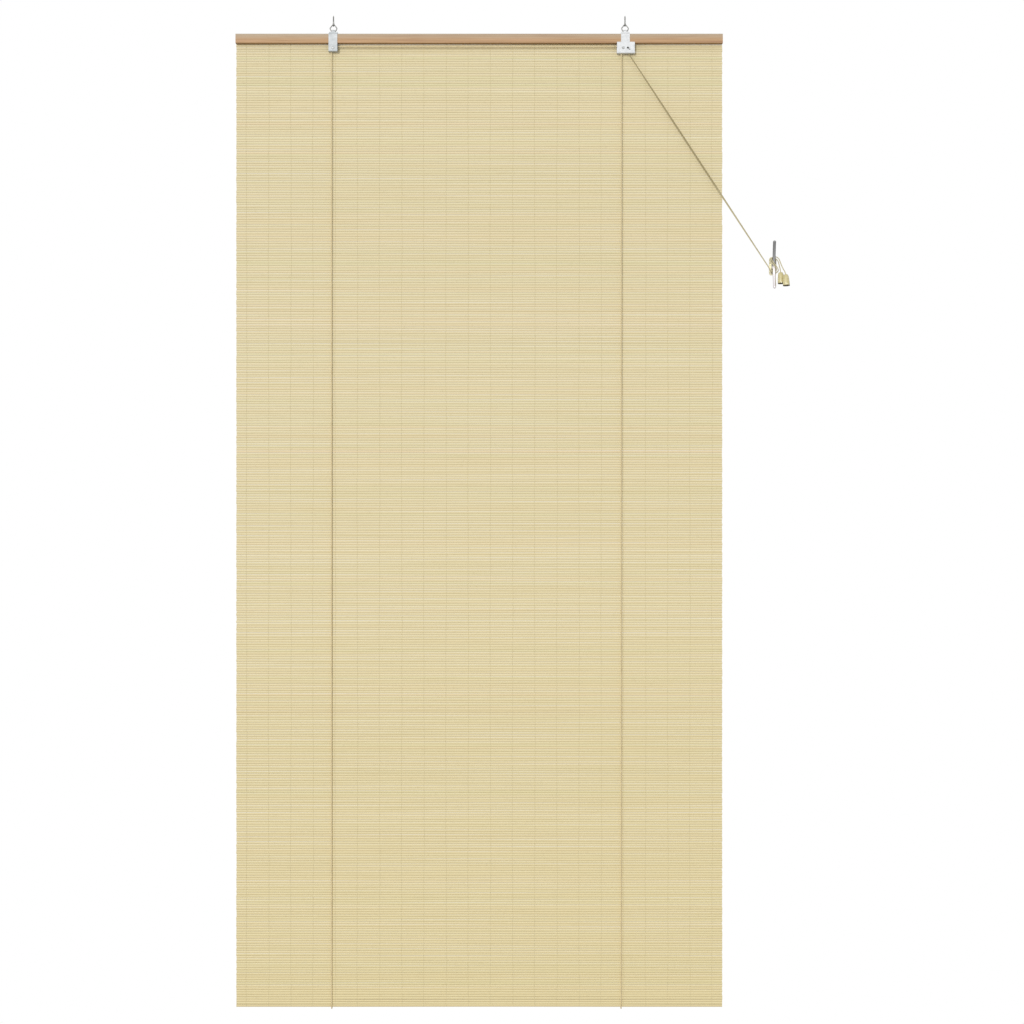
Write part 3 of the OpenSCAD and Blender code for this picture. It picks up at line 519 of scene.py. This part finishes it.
def finished_piece(name, bm, finish, body, sharp=40):
    mesh = bpy.data.meshes.new(name)
    bm.to_mesh(mesh)
    bm.free()
    mesh.materials.append(finish)
    mesh.shade_smooth()
    mesh.set_sharp_from_angle(angle=math.radians(sharp))
    piece = bpy.data.objects.new(name, mesh)
    bpy.context.scene.collection.objects.link(piece)
    if body:
        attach(piece, body)
    return piece


def repeated(mesh, count, step, join=0.0):
    """A new mesh with the given one repeated in a row, joined end to end where join is a distance."""
    row = bpy.data.objects.new("row", mesh)
    bpy.context.scene.collection.objects.link(row)
    array = row.modifiers.new("row", "ARRAY")
    array.use_relative_offset = False
    array.use_constant_offset = True
    array.constant_offset_displace = step
    array.count = count
    if join:
        array.use_merge_vertices = True
        array.merge_threshold = join
    bpy.context.view_layer.update()
    depsgraph = bpy.context.evaluated_depsgraph_get()
    result = bpy.data.meshes.new_from_object(row.evaluated_get(depsgraph))
    bpy.data.objects.remove(row)
    return result


def part_of(mesh, keep):
    """A copy of the mesh with the vertices that are to be kept, closed where threads were cut."""
    bm = bmesh.new()
    bm.from_mesh(mesh)
    bmesh.ops.delete(bm, geom=[v for v in bm.verts if not keep[v.index]], context="VERTS")
    bmesh.ops.holes_fill(bm, edges=bm.edges, sides=3)
    part = mesh.copy()
    bm.to_mesh(part)
    bm.free()
    return part


def hang_soft(name, mesh, node, drawn_up):
    """Puts a part of the mat on the blind and hides the solid it stands for; a part that is drawn up gets
    a mesh of its own.
    """
    piece = bpy.data.objects.new(name, mesh)
    bpy.context.scene.collection.objects.link(piece)
    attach(piece, "blind")
    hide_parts(node)
    if drawn_up:
        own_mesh(piece)


def vertex_places(mesh):
    places = np.empty(len(mesh.vertices) * 3, np.float32)
    mesh.vertices.foreach_get("co", places)
    return places.reshape(-1, 3).astype(float)


def add_value(mesh, name, values):
    attribute = mesh.attributes.new(name, "FLOAT", "POINT")
    attribute.data.foreach_set("value", np.asarray(values, np.float32).ravel())


# The mat of split bamboo slats

def build_slats():
    """One eight-sided slat is drawn out along the width, set in a row down the drop, and then each slat
    gets its own width, thickness, bend, ends and tone."""
    sections = 12
    sides = 8
    seed = 11
    waviness, bow = 0.02, 0.09 * MM
    unevenness = 0.13
    map_step = 0.0213
    bm = bmesh.new()
    across = Matrix(((0, 0, 1, 0), (1, 0, 0, 0), (0, 1, 0, 0), (0, 0, 0, 1)))
    turn = Matrix.Rotation(math.pi / sides, 4, "Z")
    bmesh.ops.create_circle(bm, cap_ends=True, segments=sides, radius=0.5 / math.cos(math.pi / sides),
        matrix=across @ turn)
    bmesh.ops.scale(bm, vec=(1, SLAT_THICKNESS, SLAT_PITCH), verts=bm.verts)
    bmesh.ops.translate(bm, vec=(-BLIND_WIDTH / 2, 0, 0), verts=bm.verts)
    end = bm.faces[:]
    for _ in range(sections):
        grown = bmesh.ops.extrude_face_region(bm, geom=end)["geom"]
        tip = [g for g in grown if isinstance(g, bmesh.types.BMVert)]
        bmesh.ops.translate(bm, vec=(BLIND_WIDTH / sections, 0, 0), verts=tip)
        end = [g for g in grown if isinstance(g, bmesh.types.BMFace)]
    bmesh.ops.recalc_face_normals(bm, faces=bm.faces)
    chart = bm.loops.layers.uv.new("slat_map")
    for face in bm.faces:
        for loop in face.loops:
            loop[chart].uv = (loop.vert.co.x, loop.vert.co.z)
    slat = bpy.data.meshes.new("slat")
    bm.to_mesh(slat)
    bm.free()
    mesh = repeated(slat, SLAT_COUNT, (0, 0, 0))

    rng = np.random.default_rng(seed)
    places = vertex_places(mesh).reshape(SLAT_COUNT, -1, 3)
    x, y, z = places[..., 0], places[..., 1], places[..., 2] / SLAT_PITCH
    def each(low, high):
        return rng.uniform(low, high, (SLAT_COUNT, 1))
    middle = RAIL_TOP - (np.arange(SLAT_COUNT)[:, None] + 0.5) * SLAT_PITCH
    width = each(0.93, 0.995) * SLAT_PITCH
    width = width * (1 + waviness * np.sin(2 * np.pi * (x / each(0.25, 0.6) + each(0, 1))))
    bend = bow * np.sin(2 * np.pi * (x / each(0.35, 1.1) + each(0, 1)))
    depth = each(0.86, 1.0)
    left = -BLIND_WIDTH / 2 + each(-0.3, 0.5) * MM
    right = BLIND_WIDTH / 2 - each(-0.3, 0.5) * MM
    share = x / BLIND_WIDTH + 0.5
    edge = z * 2
    places[..., 2] = middle + z * width + bend
    places[..., 1] = y * depth + each(-0.05, 0.05) * MM
    places[..., 0] = left + share * (right - left)
    mesh.vertices.foreach_set("co", places.reshape(-1).astype(np.float32))

    corners = len(mesh.loops) // SLAT_COUNT
    chart = mesh.uv_layers["slat_map"]
    flat = np.empty(len(mesh.loops) * 2, np.float32)
    chart.data.foreach_get("uv", flat)
    flat = flat.reshape(SLAT_COUNT, corners, 2)
    flat[..., 0] += each(0, 40)
    flat[..., 1] += np.arange(SLAT_COUNT)[:, None] * map_step
    chart.data.foreach_set("uv", flat.reshape(-1))

    # The tone rises and falls slowly and is a little darker further down; the last slat is darkest,
    # painted shade along the mat's lower edge
    points = places.shape[1]
    drift = np.sin(np.arange(SLAT_COUNT) / 17.0) * 0.05 - np.linspace(-0.04, 0.04, SLAT_COUNT)
    tone = np.clip(0.5 + drift + rng.normal(0, unevenness, SLAT_COUNT), 0, 1)
    tone[-1] = 0
    hue = np.clip(0.5 + rng.normal(0, unevenness, SLAT_COUNT), 0, 1)
    add_value(mesh, "slat_tone", np.repeat(tone, points))
    add_value(mesh, "slat_hue", np.repeat(hue, points))
    add_value(mesh, "slat_drop", np.repeat(np.linspace(0, 1, SLAT_COUNT), points))
    add_value(mesh, "slat_edge", edge)
    mesh.materials.clear()
    mesh.materials.append(BAMBOO)
    mesh.shade_smooth()
    mesh.set_sharp_from_angle(angle=math.radians(50))
    fixed = np.arange(SLAT_COUNT * points) < FIXED_SLATS * points
    hang_soft("bamboo_slats", part_of(mesh, ~fixed), "bamboo_mat", True)
    hang_soft("top_slats", part_of(mesh, fixed), "bamboo_mat", False)


# The warp threads: two strands that change sides between one slat and the next

def build_strands(letter, front_first):
    sides = 3
    sign = -1 if front_first else 1
    radius = 0.18 * MM
    beside = 0.2 * MM
    tuck = 1.2 * MM
    long_sway, long_wave = 0.5 * MM, 9
    short_sway, short_wave = 0.25 * MM, 41
    phase_step = 2.4
    hold, crown, reach = 0.60 * MM, 0.72 * MM, 1.5 * MM
    steps = [(reach, hold), (0, crown), (-reach, hold),
             (reach - SLAT_PITCH, -hold), (-SLAT_PITCH, -crown), (-reach - SLAT_PITCH, -hold),
             (reach - 2 * SLAT_PITCH, hold)]
    bm = bmesh.new()
    ring = bmesh.ops.create_circle(bm, segments=sides, radius=radius)["verts"]
    bmesh.ops.translate(bm, vec=(0, sign * steps[0][1], steps[0][0]), verts=ring)
    edges = bm.edges[:]
    for (z0, y0), (z1, y1) in zip(steps, steps[1:]):
        grown = bmesh.ops.extrude_edge_only(bm, edges=edges)["geom"]
        ring = [g for g in grown if isinstance(g, bmesh.types.BMVert)]
        bmesh.ops.translate(bm, vec=(0, sign * (y1 - y0), z1 - z0), verts=ring)
        rim = set(ring)
        edges = [g for g in grown if isinstance(g, bmesh.types.BMEdge) and set(g.verts) <= rim]
    bmesh.ops.translate(bm, vec=(0, 0, RAIL_TOP - SLAT_PITCH / 2), verts=bm.verts)
    period = bpy.data.meshes.new("strand_period")
    bm.to_mesh(period)
    bm.free()
    strand = repeated(period, SLAT_COUNT // 2, (0, 0, -2 * SLAT_PITCH), 0.01 * MM)

    bm = bmesh.new()
    bm.from_mesh(strand)
    low = [v for v in bm.verts if v.co.z < MAT_BOTTOM]
    bmesh.ops.translate(bm, vec=(0, 0, tuck), verts=low)
    bmesh.ops.holes_fill(bm, edges=bm.edges, sides=sides)
    bmesh.ops.recalc_face_normals(bm, faces=bm.faces)
    first = sign * beside - THREAD_PITCH * (THREAD_COUNT - 1) / 2
    bmesh.ops.translate(bm, vec=(first, 0, 0), verts=bm.verts)
    bm.to_mesh(strand)
    bm.free()
    mesh = repeated(strand, THREAD_COUNT, (THREAD_PITCH, 0, 0))
    places = vertex_places(mesh).reshape(THREAD_COUNT, -1, 3)
    phase = np.arange(THREAD_COUNT)[:, None] * phase_step
    drop = places[..., 2]
    places[..., 0] += (long_sway * np.sin(drop * long_wave + phase)
        + short_sway * np.sin(drop * short_wave + phase))
    mesh.vertices.foreach_set("co", places.reshape(-1).astype(np.float32))
    mesh.materials.clear()
    mesh.materials.append(THREAD)
    mesh.shade_smooth()
    heights = places[..., 2].ravel()
    hanging = part_of(mesh, heights < FIXED_LOW + MM)
    held = part_of(mesh, heights > FIXED_LOW)
    hang_soft("warp_strands_" + letter, hanging, "warp_threads", True)
    hang_soft("top_strands_" + letter, held, "warp_threads", False)


# Cords

# A knot from its end on: height in millimetres, and radius in radii of the cord
KNOT = [(4.2, 0.5), (3.7, 1.7), (2.4, 2.3), (1.1, 2.0), (0.4, 1.0)]
# Lengths of straight cord before a knot on an ear and in a knob
EAR_LEAD = 3.0
KNOB_LEAD = 0.8
# Length left out between the two parts of a cord on the lock's pulley
CORD_JOIN = 0.3 * MM

# The cords on the cleat, in millimetres from its middle: lead and tail, and the knobs' tops
LEFT_LEAD = [(-8.6, -1.2, -4.4), (-6.9, 1, -7.8)]
RIGHT_LEAD = [(-7.8, -3.4, -6.6), (-5.4, -0.2, -10.4)]
LEFT_TAIL = [(5.6, -1, 7.4), (7.4, -1.8, 2.6), (9, -1.4, -3.4), (10.3, -0.6, -8.4)]
RIGHT_TAIL = [(8, -1.8, 9.4), (9.9, -3.6, 3.6), (13, -6.2, -5), (16.4, -8.3, -12)]
LEFT_KNOB, RIGHT_KNOB = (10.9, 0, -12), (18, -9.2, -16.6)
# The knobs: lean in degrees, and sizes in millimetres
KNOB_TILT = 3
KNOB_HEIGHT = 19.0
KNOB_HOLLOW = 6.5
KNOB_RADIUS = 5.7
KNOB_TOP_RADIUS = 2.4
KNOB_HOLE_RADIUS = 1.1
KNOB_WALL = 1.3
# The figure of eight in millimetres: its reach up and down, what the second cord and half a turn add to
# that, its half width, the distance between the two cords, and the spaces behind and in front of the horns
TURN_REACH = 10
SECOND_CORD_REACH = 2.3
HALF_TURN_REACH = 1.6
TURN_HALF_WIDTH = 5.4
CORD_DISTANCE = 2.8
BACK_SPACE = 0.3
FRONT_SPACE = 0.6
# Number of short stretches of a pull cord between the lock and the cleat
RUN_STEPS = 48
# How far each pull cord bows from the straight line between the lock and the cleat
PULL_BOW = 0.75 * MM


def turn_point(cord, angle):
    """A point of the figure of eight that passes behind both horns and slants across their front."""
    reach = TURN_REACH + SECOND_CORD_REACH * cord + HALF_TURN_REACH * (angle - 180) / 180
    touching = HORN_SIZE / 2 + CORD_SIZE / MM / 2
    back = touching + BACK_SPACE
    front = touching + FRONT_SPACE + (angle - 270) / 180
    a = math.radians(angle)
    return (TURN_HALF_WIDTH * math.sin(2 * a) + CORD_DISTANCE * (cord - 0.5),
            (back - front) / 2 + (back + front) / 2 * math.cos(2 * a), reach * math.cos(a))


def wound(cord, lead, tail):
    return lead + [turn_point(cord, angle) for angle in range(165, 391, 15)] + tail


def arc_points(x, y, start, stop, count):
    """Points on the cord's track round a pulley's axis at the given angles in degrees."""
    angles = [math.radians(start + (stop - start) * i / count) for i in range(count + 1)]
    axis = Vector((x, y, PULLEY_Z))
    return [axis + CORD_TRACK * Vector((math.cos(a), 0, math.sin(a))) for a in angles]


def lift_routes(x, over):
    """A lift cord in three lengths: from the knot on the ear down the back, on round the mat's lower edge
    and up the front, and the rest of it over the pulley."""
    half = CORD_SIZE / 2
    back = Vector((x, CORD_BACK_Y, CORD_CUT))
    knot = [(Vector((x, CORD_BACK_Y, EAR_TOP + k * MM)), r * half) for k, r in KNOT]
    knot += [(Vector((x, CORD_BACK_Y, EAR_TOP - EAR_LEAD * MM)), half), (back, half)]
    middle = Vector((x, LOOP_MIDDLE_Y, LOOP_Z))
    angles = [-math.pi * i / 16 for i in range(17)]
    loop = [middle + LOOP_BEND * Vector((0, math.cos(a), math.sin(a))) for a in angles]
    low, top = loop[-1], over[0]
    front = low.lerp(top, (CORD_CUT - low.z) / (top.z - low.z))
    return knot, [(p, half) for p in [back] + loop + [front]], [(p, half) for p in [front] + over]


def smooth_steps(points, parts=3):
    """A smooth line through the points, with the stretch between two points in equal parts."""
    ends = [2 * points[0] - points[1]] + points + [2 * points[-1] - points[-2]]
    line = []
    for a, b, c, d in zip(ends, ends[1:], ends[2:], ends[3:]):
        for i in range(parts):
            t = i / parts
            line.append(0.5 * (2 * b + (c - a) * t + (2 * a - 5 * b + 4 * c - d) * t * t
                + (3 * b - a - 3 * c + d) * t ** 3))
    return line + [points[-1]]


# Angle on the lock's pulley at which the pull cords leave it towards the cleat
LEAVE_ANGLE = math.degrees(math.atan2(
    CLEAT_MIDDLE.x + LEFT_LEAD[0][0] * MM - LOCK_PULLEY_X - CORD_TRACK,
    PULLEY_Z - CLEAT_MIDDLE.z - LEFT_LEAD[0][2] * MM))


def pull_route(groove_y, wrap, knob, tilt, bow):
    """Off the lock's pulley, almost straight to the cleat, wound on it, and down into the knob's knot.
    The two cords bow a little apart on the way, so that they lie side by side."""
    half = CORD_SIZE / 2
    turns = [CLEAT_MIDDLE + Vector(p) * MM for p in wrap]
    start = 90 - math.degrees(CORD_JOIN / CORD_TRACK)
    points = arc_points(LOCK_PULLEY_X, groove_y, start, LEAVE_ANGLE, 5)
    along = (turns[0] - points[-1]).normalized()
    aside = Vector((-along.z, 0, along.x)) * bow
    run = [points[-1].lerp(turns[0], i / RUN_STEPS) + aside * math.sin(math.pi * i / RUN_STEPS)
           for i in range(1, RUN_STEPS)]
    way = Vector((math.sin(math.radians(tilt)), 0, -math.cos(math.radians(tilt))))
    top = CLEAT_MIDDLE + Vector(knob) * MM
    seat = KNOB_HEIGHT - KNOB_HOLLOW
    route = [(p, half) for p in points + run + smooth_steps(turns + [top])]
    route.append((top + way * (seat - KNOB_LEAD) * MM, half))
    route += [(top + way * (seat + k) * MM, r * half) for k, r in reversed(KNOT)]
    return route


def even_run(route, longest):
    """The same route with long straight stretches cut into shorter ones."""
    result = [route[0]]
    for (a, ra), (b, rb) in zip(route, route[1:]):
        parts = max(1, math.ceil((b - a).length / longest))
        result += [(a.lerp(b, i / parts), ra + (rb - ra) * i / parts) for i in range(1, parts + 1)]
    return result


def build_cord(name, route, finish):
    """Rings along the route, each square to it and turned with the last, and bridged into one tube."""
    sides = 10
    bm = bmesh.new()
    count = len(route)
    side = None
    rings = []
    lengths = [0.0]
    for (a, _), (b, _) in zip(route, route[1:]):
        lengths.append(lengths[-1] + (b - a).length)
    for i, (place, radius) in enumerate(route):
        before = route[max(i - 1, 0)][0]
        after = route[min(i + 1, count - 1)][0]
        way = ((place - before).normalized() + (after - place).normalized()).normalized()
        if side is None:
            side = way.orthogonal()
        side = (side - side.dot(way) * way).normalized()
        other = way.cross(side)
        stand = Matrix((side, other, way)).transposed().to_4x4()
        stand.translation = place
        ring = bmesh.ops.create_circle(bm, segments=sides, radius=radius, matrix=stand,
            cap_ends=i in (0, count - 1))["verts"]
        rings.append(ring)
    order = {v: (i, k) for i, ring in enumerate(rings) for k, v in enumerate(ring)}
    hoops = [list(dict.fromkeys(e for v in ring for e in v.link_edges)) for ring in rings]
    for near, far in zip(hoops, hoops[1:]):
        bmesh.ops.bridge_loops(bm, edges=near + far)
    bmesh.ops.recalc_face_normals(bm, faces=bm.faces)
    chart = bm.loops.layers.uv.new("cord_map")
    for face in bm.faces:
        spots = [order[loop.vert] for loop in face.loops]
        seam = {k for _, k in spots} == {0, sides - 1}
        for loop, (i, k) in zip(face.loops, spots):
            loop[chart].uv = ((sides if seam and k == 0 else k) / sides, lengths[i])
    cord = finished_piece(name, bm, finish, None, 60)
    return cord, [tuple(p) for p, _ in route], lengths[-1]


# Knobs and hooks

def build_knob(name, knob, tilt, node):
    """A turned bell with a cord hole, with painted shade on its lower rim and in the hollow underneath."""
    bell = [(0, 0), (0.015, 0.16), (0.03, 0.25), (0.08, 0.45), (0.15, 0.58), (0.25, 0.69), (0.37, 0.78),
            (0.5, 0.86), (0.62, 0.92), (0.74, 0.97), (0.84, 1), (0.92, 1), (0.97, 0.96), (1, 0.88)]
    flare = KNOB_RADIUS - KNOB_TOP_RADIUS
    outside = [(KNOB_TOP_RADIUS + w * flare, -h * KNOB_HEIGHT) for h, w in bell]
    mouth = outside[-1][0] - KNOB_WALL
    wall_step = 0.6
    ceiling_z = -KNOB_HEIGHT + KNOB_HOLLOW
    inside = [(mouth, -KNOB_HEIGHT), (KNOB_RADIUS - KNOB_WALL - wall_step, ceiling_z - KNOB_HOLLOW / 2),
              (KNOB_TOP_RADIUS + wall_step, ceiling_z), (KNOB_HOLE_RADIUS, ceiling_z),
              (KNOB_HOLE_RADIUS, 0), (KNOB_TOP_RADIUS, 0)]
    bm = bmesh.new()
    profile = [bm.verts.new((r * MM, 0, z * MM)) for r, z in outside + inside]
    edges = [bm.edges.new(pair) for pair in zip(profile, profile[1:])]
    bmesh.ops.spin(bm, geom=profile + edges, cent=(0, 0, 0), axis=(0, 0, 1), angle=2 * math.pi, steps=40,
        use_merge=True)
    bmesh.ops.remove_doubles(bm, verts=bm.verts, dist=0.001 * MM)
    bmesh.ops.recalc_face_normals(bm, faces=bm.faces)
    # Inner faces, the hollow's ceiling and the lower rim take the second finish, which is painted shade
    for face in bm.faces:
        middle = face.calc_center_median()
        faces_axis = face.normal.x * middle.x + face.normal.y * middle.y < 0
        ceiling = face.normal.z < -0.9 and middle.z > (1 - KNOB_HEIGHT) * MM
        rim = face.normal.z < -0.1 and middle.z < (1.2 - KNOB_HEIGHT) * MM
        face.material_index = 1 if faces_axis or ceiling or rim else 0
    lean = Matrix.Rotation(math.radians(-tilt), 3, "Y")
    bmesh.ops.rotate(bm, cent=(0, 0, 0), matrix=lean, verts=bm.verts)
    bmesh.ops.translate(bm, vec=CLEAT_MIDDLE + Vector(knob) * MM, verts=bm.verts)
    piece = finished_piece(name, bm, KNOB_PLASTIC, "fixings", 32)
    piece.data.materials.append(KNOB_PAINTED_SHADE)
    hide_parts(node)
    return piece


def build_screw_hook(name, x, node):
    """Bent wire, a turned shank with its core and point, and a screw thread wound round it. Radii and
    heights are in millimetres."""
    wire, bend, sweep, neck = 1.1, 3.4, 280, 1.2
    centre = Vector((0, 0, -(neck + bend) * MM))
    bm = bmesh.new()
    start = Matrix.Translation((0, 0, -neck * MM)) @ Matrix.Rotation(math.radians(90), 4, "X")
    bmesh.ops.create_circle(bm, cap_ends=True, segments=16, radius=wire * MM, matrix=start)
    bmesh.ops.spin(bm, geom=bm.verts[:] + bm.edges[:] + bm.faces[:], cent=centre, axis=(1, 0, 0),
        angle=math.radians(-sweep), steps=36)
    thread, core, length, point = 1.2, 0.92, 7.0, 9.0
    turned = [(0.0, -neck), (wire, -neck), (thread, 0.0), (core, 0.4), (core, length), (0.2, point),
              (0.0, point)]
    profile = [bm.verts.new((r * MM, 0, z * MM)) for r, z in turned]
    edges = [bm.edges.new(pair) for pair in zip(profile, profile[1:])]
    bmesh.ops.spin(bm, geom=profile + edges, cent=(0, 0, 0), axis=(0, 0, 1), angle=2 * math.pi, steps=20,
        use_merge=True)
    turns, steps, rise = 6, 18, 1.05
    root = core - 0.05
    section = ((root, 0.3), (thread, 0.62), (root, 0.94))
    ridge = [bm.verts.new((r * MM, 0, z * MM)) for r, z in section]
    face = bm.faces.new(ridge)
    bmesh.ops.spin(bm, geom=ridge + face.edges[:] + [face], cent=(0, 0, 0), axis=(0, 0, 1),
        dvec=(0, 0, rise / steps * MM), angle=2 * math.pi * turns, steps=turns * steps)
    bmesh.ops.remove_doubles(bm, verts=bm.verts, dist=0.001 * MM)
    bmesh.ops.recalc_face_normals(bm, faces=bm.faces)
    bmesh.ops.translate(bm, vec=(x, 0, 0), verts=bm.verts)
    piece = finished_piece(name, bm, HOOK_WIRE, "fixings")
    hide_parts(node)


# Putting the blind together

set_camera()
set_light()

left_over = arc_points(LEFT_PULLEY_X, TROUGH_MIDDLE_Y, 180, 90, 8)
left_over.append(Vector((LOCK_PULLEY_X, GROOVE_BACK_Y, PULLEY_Z + CORD_TRACK)))
right_over = arc_points(LOCK_PULLEY_X, GROOVE_FRONT_Y, 180, 90, 8)
for hand, pulley_x, over in (("left", LEFT_PULLEY_X, left_over), ("right", LOCK_PULLEY_X, right_over)):
    knot, loop, run = lift_routes(pulley_x - CORD_TRACK, over)
    for part, route, longest, far_end in (("knot", knot, 0.003, "knot"), ("lift", loop, 0.3, "object"),
                                          ("run", run, 0.2, "object")):
        cord, line, length = build_cord(f"{hand}_{part}_line", even_run(route, longest), LIFT_CORD)
        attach(cord, "blind")
        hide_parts(f"{hand}_lift_cord")
        if part == "lift":
            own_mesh(cord)

left_knob = build_knob("left_bell_knob", LEFT_KNOB, KNOB_TILT, "left_cord_knob")
right_knob = build_knob("right_bell_knob", RIGHT_KNOB, KNOB_TILT, "right_cord_knob")

for cord_name, groove_y, wrap, knob, knob_piece, cord_node, bow in (
        ("left_pull_line", GROOVE_BACK_Y, wound(0, LEFT_LEAD, LEFT_TAIL), LEFT_KNOB, left_knob,
         "left_pull_cord", PULL_BOW),
        ("right_pull_line", GROOVE_FRONT_Y, wound(1, RIGHT_LEAD, RIGHT_TAIL), RIGHT_KNOB, right_knob,
         "right_pull_cord", -PULL_BOW)):
    route = pull_route(groove_y, wrap, knob, KNOB_TILT, bow)
    cord, line, length = build_cord(cord_name, route, PULL_CORD)
    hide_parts(cord_node)
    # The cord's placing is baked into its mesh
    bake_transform(cord)

build_slats()
build_strands("a", True)
build_strands("b", False)

build_screw_hook("left_hook_wire", -HOOK_X, "left_screw_hook")
build_screw_hook("right_hook_wire", HOOK_X, "right_screw_hook")

NODE_FINISH = {
    "headrail": RAIL_WOOD, "bottom_batten": RAIL_WOOD,
    "left_bracket": ZINC_PLATE, "lock_housing": ZINC_LOCK,
    "left_pulley": PULLEY_NYLON, "lock_pulley": PULLEY_NYLON,
    "left_pulley_pin": BRIGHT_WIRE, "lock_pulley_pin": BRIGHT_WIRE, "lock_roller": BRIGHT_WIRE,
    "bracket_screws": BRIGHT_WIRE, "mat_staples": BRIGHT_WIRE, "cleat_screws": BRIGHT_WIRE,
    "left_ring": RING_WIRE, "right_ring": RING_WIRE,
    "wall_cleat": CLEAT_PLATE,
}
for node_name, finish in NODE_FINISH.items():
    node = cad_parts[node_name]
    if not node.material_slots:
        node.data.materials.append(finish)
    for place in node.material_slots:
        place.material = finish

bpy.context.scene.view_settings.view_transform = "Standard"
